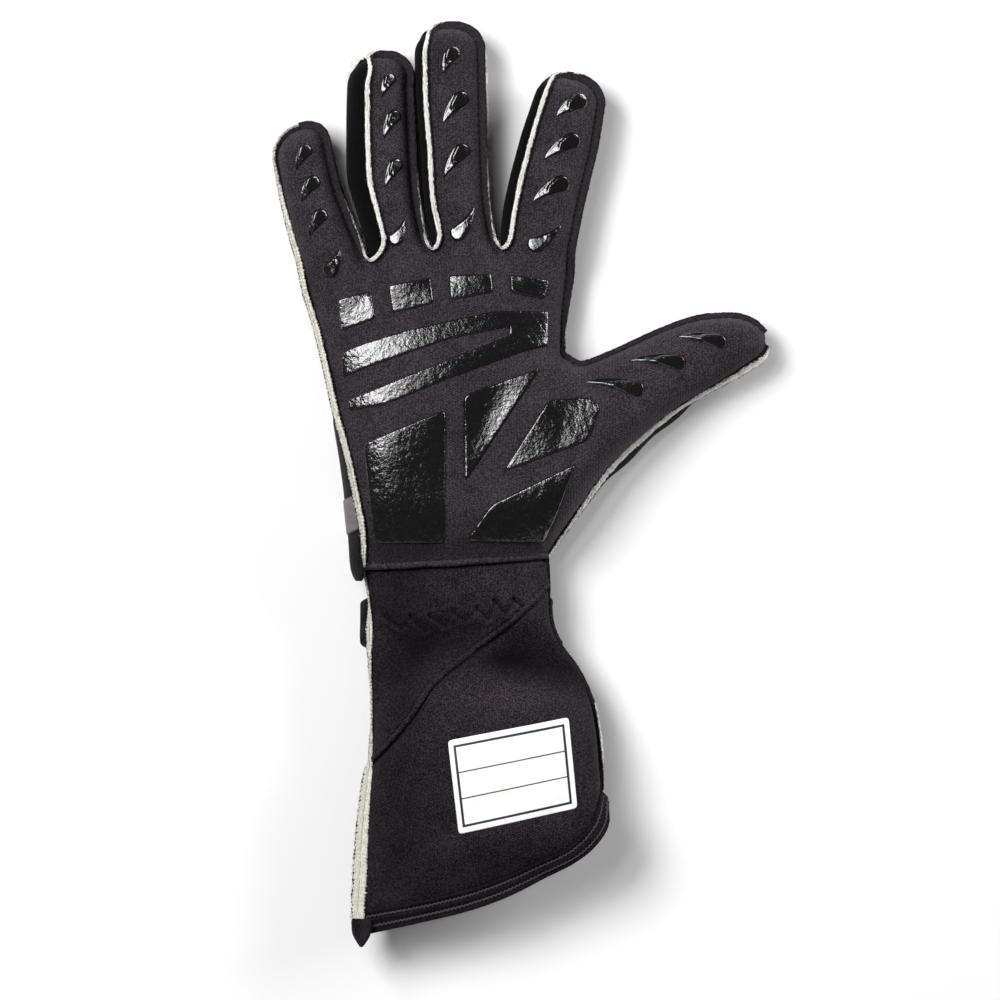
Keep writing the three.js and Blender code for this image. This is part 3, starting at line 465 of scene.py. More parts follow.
def hand_span(down):
    """Width of the hand with the back's bulge, that bulge, and the angle at which the side seam lies."""
    seam = little_side(down)
    bulge = heights(seam[1])[3]
    width = thumb_side(down)[0] - seam[0] + bulge
    start = math.acos(min(1.0, max(0.0, 1 - 2 * bulge / width)) ** (EXPONENT / 2))
    return width, bulge, start


def thumb_opening(down):
    """How far the thumb's side of the hand is open into the thumb, 0 to 1."""
    web = WEB_ROW / PALM_ROWS
    return 0.0 if down < web else dome(2 * (down - web) / (1 - web) - 1, EXPONENT)


def column_share(column, down):
    """Sideways share of a column, with the crotches on whole fingers at the top row."""
    width, bulge, start = hand_span(down)
    finger = min(3, column // COLUMNS)
    even = mix(base_shares[finger], base_shares[finger + 1], column / COLUMNS - finger)
    turn = column / HAND_COLUMNS
    angle = mix(start, math.pi / 2, 2 * turn) if turn < 0.5 else math.pi * turn
    rounded = (width / 2 * (1 - squash(math.cos(angle), EXPONENT)) - bulge) / (width - bulge)
    side = mix(rounded, turn, thumb_opening(down)) if turn > 0.5 else rounded
    return mix(even, side, smoothstep(down, 0, CROTCH_COLUMNS_REACH))


def crotch_dip(column, down):
    finger = column / COLUMNS
    if finger < 0.5 or finger > 3.5:
        return 0.0
    return CROTCH_DIP * math.cos(math.pi * finger) ** 4 * (1 - smoothstep(down, 0, CROTCH_DIP_REACH))


def hand_point(column, down, is_palm):
    """Point of the hand's palm side or underside; column 0 is the little finger's side."""
    share = column_share(column, down)
    x, y = hand_patch(share, down)
    middle, rise, lift, _ = heights(y)
    width, bulge, _ = hand_span(down)
    across = 2 * (share * (width - bulge) + bulge) / width - 1
    opening = thumb_opening(down) if across > 0 else 0.0
    closed = dome(across, TOP_EXPONENT if is_palm and across < 0 else EXPONENT)
    factor = mix(closed, 1 - 0.15 * across ** 2 if across > 0 else closed, opening)
    if is_palm:
        return [x, y, middle + (rise - fold_depth(x, y)) * factor - crotch_dip(column, down)]
    floor = max(lift, middle - middle * FLATTEN * factor)
    return [x, y, min(middle, floor + crotch_dip(column, down))]


def underside_row(down):
    """Row of the back, which runs round the bulge beyond the little finger's side."""
    row = [hand_point(column, down, False) for column in range(HAND_COLUMNS + 1)]
    seam = hand_point(0, down, True)
    middle, rise, lift, _ = heights(seam[1])
    width, bulge, start = hand_span(down)
    half = HAND_COLUMNS // 2
    for column in range(half):
        angle = mix(-start, math.pi / 2, column / half)
        out = width / 2 * (1 - squash(math.cos(angle), EXPONENT)) - bulge
        fall = squash(math.sin(angle), EXPONENT)
        height = middle - rise * fall if fall < 0 else middle - middle * FLATTEN * fall
        turned = (seam[0] + out, row[column][1], max(lift, height))
        share = smoothstep(down, *BACK_TURN)
        row[column] = [mix(a, b, share) for a, b in zip(row[column], turned)]
    row[0] = seam
    return row


def hand_rows(is_palm):
    palm_row = lambda down: [hand_point(column, down, True) for column in range(HAND_COLUMNS + 1)]
    rows = [(palm_row if is_palm else underside_row)(i / PALM_ROWS) for i in range(PALM_ROWS + 1)]
    for row in rows[:WEB_ROW + 1] + rows[-1:]:
        row[-1][2] = heights(row[-1][1])[0]
    return rows


# Thumb

thumb_table = Table([(i, *row) for i, row in enumerate(THUMB)])
STATIONS = [i / THUMB_STEPS for i in range(1, THUMB_STEPS * (len(THUMB) - 1) + 1)]


def thumb_point(station, across, is_palm):
    upper_x, upper_y, lower_x, lower_y, middle, rise = thumb_table(station)
    rounded = (1 - squash(math.cos(math.pi * across), FINGER_EXPONENT)) / 2
    share = mix(across, rounded, smoothstep(station, 0, 3))
    factor = dome(2 * share - 1, EXPONENT)
    x, y = mix(upper_x, lower_x, share), mix(upper_y, lower_y, share)
    if station == STATIONS[-1]:
        return (x, y, middle)
    height = (rise - fold_depth(x, y)) * factor if is_palm else -middle * FLATTEN * factor
    return (x, y, max(0.0, middle + height))


def thumb_grid(rows, is_palm):
    """Columns of the thumb's cage: the first is the hand's own edge below the web."""
    root = rows[WEB_ROW:]
    count = len(root) - 1
    beyond = [[thumb_point(station, i / count, is_palm) for i in range(count + 1)] for station in STATIONS]
    return [[row[-1] for row in root], *beyond]


# Cuff

slanted_line, hem_line, hem_edge = Outline(SLANTED_SEAM), Outline(HEM_LINE), Outline(HEM_EDGE)
cuff_top_patch = patch(wrist_line, slanted_line, Outline(CUFF_TOP_LEFT), Outline(CUFF_TOP_RIGHT))
cuff_low_patch = patch(slanted_line, hem_line, Outline(CUFF_LOW_LEFT), Outline(CUFF_LOW_RIGHT))
hem_patch = patch(hem_line, hem_edge, Outline([HEM_LINE[0], HEM_EDGE[0]]), Outline([HEM_LINE[-1], HEM_EDGE[-1]]))


def cuff_row(area, down, is_palm):
    row = []
    for column in range(CUFF_COLUMNS + 1):
        across = -squash(math.cos(math.pi * column / CUFF_COLUMNS), EXPONENT)
        x, y = area((across + 1) / 2, down)
        middle, rise, lift, _ = heights(y)
        top = middle + (rise - fold_depth(x, y)) * dome(across, TOP_EXPONENT if across < 0 else CUFF_TOP_EXPONENT)
        row.append((x, y, top if is_palm else max(lift, middle - middle * FLATTEN * dome(across, EXPONENT))))
    return row


def cuff_rows(area, count, is_palm):
    return [cuff_row(area, i / count, is_palm) for i in range(count + 1)]


def lay_out():
    """Lays out every panel's cage and the lines of points that the seams follow."""
    fingers = [finger_rows(name) for name in NAMES]
    palm_hand, back_hand = hand_rows(True), hand_rows(False)
    palm_arcs, back_arcs = (
        [[arc(row["section"], row[side + "_left"], row[side + "_right"], COLUMNS) for row in rows] for rows in fingers]
        for side in ("palm", "back"))
    palm_thumb, back_thumb = thumb_grid(palm_hand, True), thumb_grid(back_hand, False)
    base = lambda rows, i: rows[0][i * COLUMNS:(i + 1) * COLUMNS + 1]

    sheets = {"palm_panel": Sheet().grid(palm_hand), "back_panel": Sheet().grid(back_hand, True)}
    sheets["thumb_back"] = Sheet().grid(back_thumb, upright=False)
    for i in range(4):
        sheets["palm_panel"].grid([*palm_arcs[i], base(palm_hand, i)])
        sheets["back_panel"].grid([*back_arcs[i], base(back_hand, i)], True)
    sheets["palm_panel"].grid(palm_thumb, True, upright=False)

    for i, pair in enumerate(PAIRS):
        side = lambda finger, low, high: [
            arc(row["section"], low(row), high(row), GUSSET_COLUMNS) for row in finger[GUSSET_ROW:]]
        first = side(fingers[i], lambda row: row["palm_right"], lambda row: row["back_right"] - 360)
        second = side(fingers[i + 1], lambda row: row["palm_left"], lambda row: row["back_left"])
        top, bottom = palm_hand[0][(i + 1) * COLUMNS], back_hand[0][(i + 1) * COLUMNS]
        crotch = [
            [mix(a, b, j / GUSSET_COLUMNS) for a, b in zip(top, bottom)] for j in range(GUSSET_COLUMNS + 1)]
        sheets["fourchette_" + pair] = Sheet().grid([*first, crotch, *second[::-1]], upright=False)

    cuff_top = cuff_rows(cuff_top_patch, CUFF_TOP_ROWS, True)
    cuff_low = cuff_rows(cuff_low_patch, CUFF_LOW_ROWS, True)
    sheets["cuff_wrist_palm"], sheets["cuff_lower_palm"] = Sheet().grid(cuff_top), Sheet().grid(cuff_low)
    sheets["cuff_back"] = (
        Sheet().grid(cuff_rows(cuff_top_patch, CUFF_TOP_ROWS, False), True)
        .grid(cuff_rows(cuff_low_patch, CUFF_LOW_ROWS, False), True)
    )
    sheets["hem_palm"] = Sheet().grid(cuff_rows(hem_patch, HEM_ROWS, True))
    sheets["hem_back"] = Sheet().grid(cuff_rows(hem_patch, HEM_ROWS, False), True)

    outward = {}
    for sheet in sheets.values():
        for point, normal in zip(sheet.points, sheet.normals()):
            key = Sheet.key(point)
            outward[key] = outward.get(key, 0) + normal

    half = COLUMNS // 2
    left = lambda rows: [row[0] for row in rows]
    right = lambda rows: [row[-1] for row in rows]
    tip_left = lambda rows: rows[0][1:half + 1][::-1]
    tip_right = lambda rows: rows[0][half:COLUMNS]
    lines = {
        "side_seam": tip_left(palm_arcs[0]) + left(palm_arcs[0]) + left(palm_hand),
        "index_thumb_seam": tip_right(palm_arcs[3]) + right(palm_arcs[3]) + right(palm_hand)[:WEB_ROW + 1]
        + left(palm_thumb)[1:],
        "thumb_seam": right(palm_thumb)[::-1],
        "cuff_left_seam": left(cuff_top) + left(cuff_low)[1:],
        "cuff_right_seam": right(cuff_top) + right(cuff_low)[1:],
        "wrist_welt": palm_hand[-1],
        "slanted_seam": cuff_low[0],
        "hem_line": cuff_row(hem_patch, 0, True),
    }
    for i, pair in enumerate(PAIRS):
        lines["finger_seam_" + pair] = (
            tip_right(palm_arcs[i]) + right(palm_arcs[i]) + [palm_hand[0][(i + 1) * COLUMNS]]
            + left(palm_arcs[i + 1])[::-1] + tip_left(palm_arcs[i + 1])[::-1]
        )
        lines["back_seam_" + pair] = (
            right(back_arcs[i])[GUSSET_ROW:] + [back_hand[0][(i + 1) * COLUMNS]]
            + left(back_arcs[i + 1])[GUSSET_ROW:][::-1]
        )
    return sheets, outward, lines


sheets, outward, seam_lines = lay_out()


# Making meshes

def placed(points):
    """Points of the tables' frame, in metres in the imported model's frame."""
    return (np.asarray(points, float) - (*CENTRE, 0)) * MM


def grounded(points):
    """The points, with those below the floor's surface raised to lie on it."""
    points[:, 2] = np.maximum(points[:, 2], FLOOR_CLEARANCE)
    return points


def double_wall(outer, inner, cells):
    """Points and faces of a closed sheet: an outer face, an inner one and the edges between them."""
    border, count = border_edges(cells), len(outer)
    sides = np.stack([border[:, 0], border[:, 0] + count, border[:, 1] + count, border[:, 1]], 1)
    return grounded(np.concatenate([outer, inner])), np.concatenate([cells, cells[:, ::-1] + count, sides])


def new_object(name, data):
    thing = bpy.data.objects.new(name, data)
    bpy.context.scene.collection.objects.link(thing)
    return thing


def new_mesh(name, points, faces, weave, values=None, picks=None, finishes=()):
    """A smooth-shaded piece from points in millimetres, with its weave coordinates and named point values."""
    mesh = bpy.data.meshes.new(name)
    mesh.from_pydata(placed(points).tolist(), [], [list(map(int, face)) for face in faces])
    corners = read(mesh.loops, "vertex_index", 1).ravel()
    layer = mesh.uv_layers.new(name="weave")
    layer.data.foreach_set("uv", np.asarray(weave, np.float32)[corners].ravel())
    # Every piece gets a painted light and shade factor of 1, unless it is given other values
    for key, entries in {"wear": np.ones(len(points)), **(values or {})}.items():
        attribute = mesh.attributes.new(key, "FLOAT", "POINT")
        attribute.data.foreach_set("value", np.asarray(entries, np.float32))
    for finish in finishes:
        mesh.materials.append(finish_named(finish))
    if picks is not None:
        mesh.polygons.foreach_set("material_index", np.asarray(picks, np.int32))
    mesh.polygons.foreach_set("use_smooth", np.ones(len(mesh.polygons), bool))
    mesh.update()
    return new_object(name, mesh)


def read(items, key, width):
    """One value or vector of each of a mesh's items, as rows."""
    values = np.zeros(len(items) * width, np.int32 if width == 1 else float)
    items.foreach_get(key, values)
    return values.reshape(-1, width)


def subdivide(sheet, levels):
    """Points, cells and weave of a sheet after subdivision."""
    cage = new_mesh("cage", sheet.points, sheet.cells, sheet.weave)
    modifier = cage.modifiers.new("smooth", "SUBSURF")
    modifier.levels = levels
    modifier.boundary_smooth = "PRESERVE_CORNERS"
    fine = cage.evaluated_get(bpy.context.evaluated_depsgraph_get()).to_mesh()
    points = read(fine.vertices, "co", 3) / MM + (*CENTRE, 0)
    corners = read(fine.loops, "vertex_index", 1).ravel()
    cells = corners.reshape(-1, 4)
    weave = np.zeros((len(points), 2))
    weave[corners] = read(fine.uv_layers["weave"].data, "uv", 2)
    mesh = cage.data
    bpy.data.objects.remove(cage)
    bpy.data.meshes.remove(mesh)
    return points, cells, weave


def grid_normals(points, cells):
    a, b, c, d = (points[cells[:, k]] for k in range(4))
    facing = np.cross(c - a, d - b)
    normals = np.zeros_like(points)
    for k in range(4):
        np.add.at(normals, cells[:, k], facing)
    return normals / np.maximum(norm(normals, axis=1), 1e-9)[:, None]


def border_edges(cells):
    """Edges that only one cell uses, in that cell's order."""
    edges = np.concatenate([np.stack([cells[:, k], cells[:, (k + 1) % 4]], 1) for k in range(4)])
    ordered = np.sort(edges, axis=1)
    _, where, uses = np.unique(ordered, axis=0, return_index=True, return_counts=True)
    return edges[where[uses == 1]]


def ripples(points, scale, seed):
    """Smooth noise from about -1 to 1 at points, with features of that size in millimetres."""
    shift = Vector((seed * 17.3, seed * -9.1, seed * 5.7))
    return np.array([noise.noise(Vector(point) / scale + shift) for point in points])


def seam_distance(points, names):
    """Distance from each point to the nearest of the named seams, and the place along it."""
    line = np.concatenate([seam_paths[name][0] for name in names])
    tree = KDTree(len(line))
    for i, point in enumerate(line):
        tree.insert(point, i)
    tree.balance()
    found = [tree.find(point) for point in points]
    return np.array([f[2] for f in found]), np.array([f[1] for f in found]) * SEAM_PITCH


def cloth_shell(sheet, levels, shape, wall):
    """Double-walled cloth: the shaped outer face, the lining inside it and the cut edges."""
    points, cells, weave = subdivide(sheet, levels)
    points = shape(points, grid_normals(points, cells))
    normals = grid_normals(points, cells)
    both, faces = double_wall(points, points - normals * wall, cells)
    picks = np.zeros(len(faces))
    picks[len(cells):2 * len(cells)] = 1
    return both, faces, np.concatenate([weave, weave]), picks


# Seams

SEAM_PITCH = 0.45  # step along every seam
SEAM_SMOOTHING = 7  # steps over which a seam's outward direction is evened out


def seam_path(line):
    """Evenly spaced points on the smooth edge that panels share, and the cloth's outward direction there."""
    cage = np.array(line, float)
    keep = np.concatenate([[True], norm(np.diff(cage, axis=0), axis=1) > 1e-6])
    cage = cage[keep]
    facing = unit(np.array([outward.get(Sheet.key(point), np.array((0, 0, 1.0))) for point in cage]))
    both = np.concatenate([cage, facing], axis=1)
    both = np.concatenate([2 * both[:1] - both[1:2], both, 2 * both[-1:] - both[-2:-1]])
    t = np.linspace(0, 1, 13)[:-1, None]
    spans = [
        (both[i] * (1 - t) ** 3 + both[i + 1] * (3 * t ** 3 - 6 * t ** 2 + 4)
         + both[i + 2] * (-3 * t ** 3 + 3 * t ** 2 + 3 * t + 1) + both[i + 3] * t ** 3) / 6
        for i in range(len(both) - 3)
    ]
    dense = np.concatenate(spans + [both[-2:-1]])
    lengths = run_lengths(dense[:, :3])
    at = np.linspace(0, lengths[-1], max(4, round(lengths[-1] / SEAM_PITCH)))
    even = read_along(dense, lengths, at)
    return even[:, :3], even[:, 3:]


seam_paths = {name: seam_path(line) for name, line in seam_lines.items()}


def frames_along(points, facing, lift):
    """Outward and palm-side directions along a seam; lift turns the outward one up towards the viewer."""
    run = unit(np.gradient(points, axis=0))
    out = facing * (1 - lift)[:, None] + np.array((0, 0, 1.0)) * lift[:, None]
    kernel = np.ones(SEAM_SMOOTHING) / SEAM_SMOOTHING
    padded = np.pad(out, ((SEAM_SMOOTHING // 2,) * 2, (0, 0)), mode="edge")
    out = np.stack([np.convolve(padded[:, k], kernel, mode="valid") for k in range(3)], 1)
    out = unit(out - run * (out * run).sum(1)[:, None])
    return run, out, np.cross(run, out)


def swept(rings):
    """Faces of a closed tube whose rings are the rows of an array of points."""
    count, around = rings.shape[:2]
    index = np.arange(count * around).reshape(count, around)
    following = np.roll(index, -1, axis=1)
    quads = np.stack([index[:-1], following[:-1], following[1:], index[1:]], -1).reshape(-1, 4)
    caps = [index[0][::-1].tolist(), index[-1].tolist()]
    return rings.reshape(-1, 3), [*quads.tolist(), *caps]


# One layer of a seam allowance. Columns: place across its thickness, height share, drop, raw core share.
LAYER_PROFILE = [
    (0, 0, 1, 1), (0, 0.7, 0, 1), (0.02, 1, 0.06, 1), (0.22, 1, -0.06, 1), (0.46, 1, 0, 1),
    (0.7, 1, -0.05, 1), (0.88, 1, 0.1, 1), (0.98, 1, 0.34, 0.5), (1, 0.8, 0, 0.04), (1, 0.5, 0, 0),
    (1.02, 0.2, 0, 0), (1.05, 0, 0.3, 0), (0.9, 0, 1, 0),
]
OVERLOCK = 1.35  # length of one overlock stitch, three steps along the seam


def merge(parts):
    """Joins parts of points, faces, values (core, place along, place across) and finish into one."""
    points, faces, values, picks, start = [], [], [], [], 0
    for part_points, part_faces, part_values, pick in parts:
        points.append(part_points)
        faces.extend([[k + start for k in face] for face in part_faces])
        values.append(part_values)
        picks.extend([pick] * len(part_faces))
        start += len(part_points)
    return np.concatenate(points), faces, np.concatenate(values), picks


def along_noise(place, track, scale, seed):
    """Noise along a seam, different on each track of its profile."""
    return ripples(np.column_stack([place, np.full(len(place), 3.7 * track), 0 * place]), scale, seed)


def flange_layer(points, frames, height, thick, side, seed, pinch, open_share):
    """One cloth layer of a seam allowance that stands out from the seam, with a worn, overlocked top edge.
    Its pale core shows where the edge lies open."""
    _, out, across = frames
    count = len(points)
    place = np.arange(count) * SEAM_PITCH
    sway = 0.22 * along_noise(place, 0, 7.0, seed)
    bite = pinch * (0.5 + 0.5 * np.cos(2 * math.pi * place / OVERLOCK + 2 * along_noise(place, 9, 11.0, seed))) ** 3
    rings, core = [], []
    for k, (s, share, drop, raw) in enumerate(LAYER_PROFILE):
        worn = along_noise(place, k, 1.4, seed + 3) + 0.8 * along_noise(place, k + 20, 0.8, seed + 5)
        at_top = float(share == 1.0)
        top = share * (height + (0.26 * worn - 0.45 * bite) * at_top) - drop
        sideways = side * s * thick * (1 + 0.24 * worn * (raw > 0) - 0.32 * bite * at_top)
        lean = (sway + 0.08 * worn * at_top) * share
        rings.append(points + out * top[:, None] + across * (sideways + lean)[:, None])
        shown = np.clip(open_share * raw + (0.4 * worn - 0.2 * bite) * (0 < raw < 1), 0, 1)
        core.append(np.column_stack([shown, place, side * s * thick + 0.3 * k]))
    rings = np.stack(rings, 1)
    core = np.stack(core, 1)
    if side < 0:
        rings, core = rings[:, ::-1], core[:, ::-1]
    flat, faces = swept(rings)
    return flat, faces, core.reshape(-1, 3)


FIBRE_ROOT, FIBRE_SCATTER = 0.12, 0.55  # depth of a fibre's root, and how far fibres lean at random
FIBRE_RADII = (0.035, 0.07)


def fibres(points, frames, low, high, height, length, rng, per_mm, splay=0.5, stout=1.0):
    """Short closed spikes of loose fibre, between two places across the seam's edge."""
    run, out, across = frames
    wanted = np.broadcast_to(per_mm, len(points)) * SEAM_PITCH
    count = int(wanted.sum())
    at = rng.choice(len(points), count, p=wanted / wanted.sum())
    s = rng.uniform(0, 1, count) * (high - low)[at] + low[at]
    base = points[at] + across[at] * s[:, None] + out[at] * (height[at] - FIBRE_ROOT)[:, None]
    base += run[at] * rng.uniform(-0.5, 0.5, count)[:, None] * SEAM_PITCH
    aside = splay * np.sign(s) * (np.abs(s) > 0.4)
    aim = out[at] + across[at] * aside[:, None] + rng.normal(0, FIBRE_SCATTER, (count, 3))
    aim = unit(aim)
    reach = rng.uniform(0.4, 1.0, count) * length
    first = unit(np.cross(aim, run[at]))
    second = np.cross(aim, first)
    radius = rng.uniform(*FIBRE_RADII, count)[:, None] * stout
    corners = [
        base + radius * (math.cos(turn) * first + math.sin(turn) * second)
        for turn in (0, 2 * math.pi / 3, 4 * math.pi / 3)
    ]
    spikes = np.stack([*corners, base + aim * reach[:, None]], 1).reshape(-1, 3)
    starts = np.arange(count)[:, None] * 4
    faces = np.concatenate([starts + k for k in ((0, 1, 3), (1, 2, 3), (2, 0, 3), (2, 1, 0))])
    return spikes, faces.tolist(), np.ones((len(spikes), 3))


# Columns: share of a stitch's length, share of its radius
STITCH_PROFILE = [(0, 0.3), (0.1, 0.8), (0.5, 1.06), (0.9, 0.8), (1, 0.3)]


def capsules(starts, ends, ups, radius, sides=6):
    """Closed stitches between pairs of points, pressed flat towards their own ups."""
    starts, ends, ups = (np.asarray(a, float) for a in (starts, ends, ups))
    along = ends - starts
    length = norm(along, axis=1)[:, None]
    along = along / length
    side = unit(np.cross(along, ups))
    ups = np.cross(side, along)
    rings = []
    for share, wide in STITCH_PROFILE:
        rise = radius * 0.6 * math.sin(math.pi * share)
        middle = starts + along * length * share + ups * rise
        for k in range(sides):
            turn = 2 * math.pi * k / sides
            rings.append(middle + wide * radius * (math.cos(turn) * side + 0.75 * math.sin(turn) * ups))
    points = np.stack(rings, 1)
    around = len(rings)
    index = np.arange(around).reshape(-1, sides)
    quads = [
        (index[i][k], index[i][(k + 1) % sides], index[i + 1][(k + 1) % sides], index[i + 1][k])
        for i in range(len(index) - 1) for k in range(sides)
    ]
    stitch = [*quads, index[0][::-1], index[-1]]
    faces = [[k + i * around for k in face] for i in range(len(starts)) for face in stitch]
    return points.reshape(-1, 3), faces, np.zeros((len(starts) * around, 3))


# Panel shapes

PUCKER_PITCH, PUCKER_REACH = 3.4, 2.6
# Ridges and grooves of the cloth. Columns: height, distance from the seam or stitch that makes it, half width.
LAP_GROOVE = [(-1.3, 1.2, 0.9)]
LAP_RIDGE, TUCK_GROOVE = [(0.5, 1.6, 1.3)], [(-1.7, 1.5, 0.9)]
HEM_GROOVE = [(-0.5, 0, 1.2)]
HEM_RIDGES = [(0.7, 0, 0.9), (0.45, 3.2, 0.9), *[(-0.4, row, 0.6) for row in HEM_ROWS_AT]]
ZIGZAG_GROOVE, ZIGZAG_PUFF = [(1.35, 0, 0.8)], [(0.75, 1.9, 1.0)]
ZIGZAG_PULL = 1.15  # of both
ZIGZAG_RISING = 0.4  # share of them that shows at the stitches that rise towards the thumb
GATHERS = (0.12, 2.6, -40, 11)  # fine upright gathers round the zigzag: height, pitch, y, half width
# The back's pouch over the wrist. Columns: axis of the move, move, y, half width.
POUCH = [(1, -5.5, -30, 7), (0, 2.2, -33, 4)]


def bell(value, half_width):
    return np.exp(-(value / half_width) ** 2)


def released(distance, reach):
    """Share of its own shape that cloth has at a distance from what holds it down."""
    return 1 - np.exp(-distance / reach)


def ridges(distance, rows):
    return sum(height * bell(distance - at, half_width) for height, at, half_width in rows)


def beside(points, seam, rows):
    return ridges(seam_distance(points, [seam])[0], rows)


def soft_shape(names, wave, pucker, seed, extra=None):
    """Sculpts a panel: broad waves of the cloth, and puckers that the seam threads pull in."""
    def shape(points, normals):
        distance, place = seam_distance(points, names)
        waves = 0.7 * ripples(points, 17.0, seed) + 0.35 * ripples(points, 6.0, seed + 1)
        depth = wave * waves * released(distance, 1.5)
        gather = np.sin(place * 2 * math.pi / PUCKER_PITCH + 2.5 * ripples(points, 9.0, seed + 2))
        depth += pucker * gather * np.exp(-distance / PUCKER_REACH) * released(distance, 0.5)
        moved = points + normals * depth[:, None]
        if extra:
            moved += extra(points, normals, distance)
        return moved
    return shape


def swell(points, table):
    """Height of the soft mounds in a table, at points."""
    height = np.zeros(len(points))
    for x, y, heading, half_length, half_width, high in table:
        run, across = along_across(points[:, 0] - x, points[:, 1] - y, heading)
        height += high * np.exp(-((run / half_length) ** 2) - (across / half_width) ** 2)
    return height


def lifted(points, amount):
    rise = np.zeros_like(points)
    rise[:, 2] = amount
    return rise


def palm_mounds(points, normals, distance):
    """The heel and outer mound of the palm, the hollow between them, and its fall to the wrist tuck."""
    flat = np.clip(normals[:, 2], 0, 1) ** 2 * released(distance, 5)
    return lifted(points, swell(points, MOUNDS) * flat + swell(points, WRIST_FALL) * released(distance, 3))


def cuff_relief(points, normals):
    """The folds that both pieces of the cuff's palm side share, held down by its side seams."""
    held, _ = seam_distance(points, CUFF_SEAMS)
    return lifted(points, swell(points, WRIST_FALL + CUFF_FOLDS) * (np.clip(normals[:, 2], 0, 1) * released(held, 3)))


def thumb_fullness(points, normals, distance):
    """The thumb's back bulging out past its lower seam."""
    start, end = np.array(THUMB[1][2:4]), np.array(THUMB[5][2:4])
    run = (end - start) / norm(end - start)
    outside = np.array((run[1], -run[0], 0))
    reach = np.zeros(len(points))
    for x, y, radius, far in THUMB_FULLNESS:
        reach += far * bell(norm(points[:, :2] - (x, y), axis=1), radius)
    return outside * (reach * released(distance, 1.8))[:, None]


def back_pouch(points, normals, distance):
    """The back's fullness hanging a little over the wrist at the little finger's side."""
    outside = np.clip((little_side(1.0)[0] - points[:, 0]) / 3, 0, 1)
    moved = np.zeros_like(points)
    for axis, move, y, half_width in POUCH:
        moved[:, axis] = move * outside * bell(points[:, 1] - y, half_width)
    return moved


def gauntlet_folds(points, normals, distance):
    """Loose folds of the gauntlet, and its dips along the slanted seam and above the hem."""
    dips = beside(points, "slanted_seam", LAP_GROOVE) + beside(points, "hem_line", HEM_GROOVE)
    return cuff_relief(points, normals) + normals * dips[:, None]


def zigzag_pull(points):
    """Grooves under the zigzag's stitches, and the small puffs that they leave below them."""
    groove, puff = np.zeros(len(points)), np.zeros(len(points))
    for (x1, y1), (x2, y2) in zip(ZIGZAG, ZIGZAG[1:]):
        start, run = np.array((x1, y1)), np.array((x2 - x1, y2 - y1))
        length = norm(run)
        run = run / length
        normal = np.array((-run[1], run[0]))
        to = points[:, :2] - start
        t = np.clip(to @ run, 0, length)
        away = norm(to - t[:, None] * run, axis=1)
        upper = (to @ normal) * (1 if normal[1] > 0 else -1)
        strong = 1.0 if y2 < y1 else ZIGZAG_RISING
        groove = np.maximum(groove, strong * ridges(away, ZIGZAG_GROOVE))
        puff = np.maximum(puff, strong * ridges(away, ZIGZAG_PUFF) * (upper < 0))
    return ZIGZAG_PULL * (puff - groove)


def wrist_gathers(points, normals, distance):
    """Zigzag elastic, fine upright gathers above it, soft folds, and dips along the wrist tuck and slanted seam."""
    height, pitch, y, half_width = GATHERS
    wander = points[:, 0] + 1.6 * ripples(points, 8.0, 41)
    flat = np.clip(normals[:, 2], 0, 1)
    gathers = height * bell(points[:, 1] - y, half_width) * np.sin(wander * 2 * math.pi / pitch)
    depth = (zigzag_pull(points) + gathers) * flat + swell(points, WRIST_FOLDS) * flat * released(distance, 2)
    depth += beside(points, "slanted_seam", LAP_RIDGE) + beside(points, "wrist_welt", TUCK_GROOVE)
    return cuff_relief(points, normals) + normals * depth[:, None]


def hem_ridge(points, normals, distance):
    """The hem's raised upper edge and the grooves of its two rows of stitches."""
    return cuff_relief(points, normals) + normals * ridges(distance, HEM_RIDGES)[:, None]


# Finishes

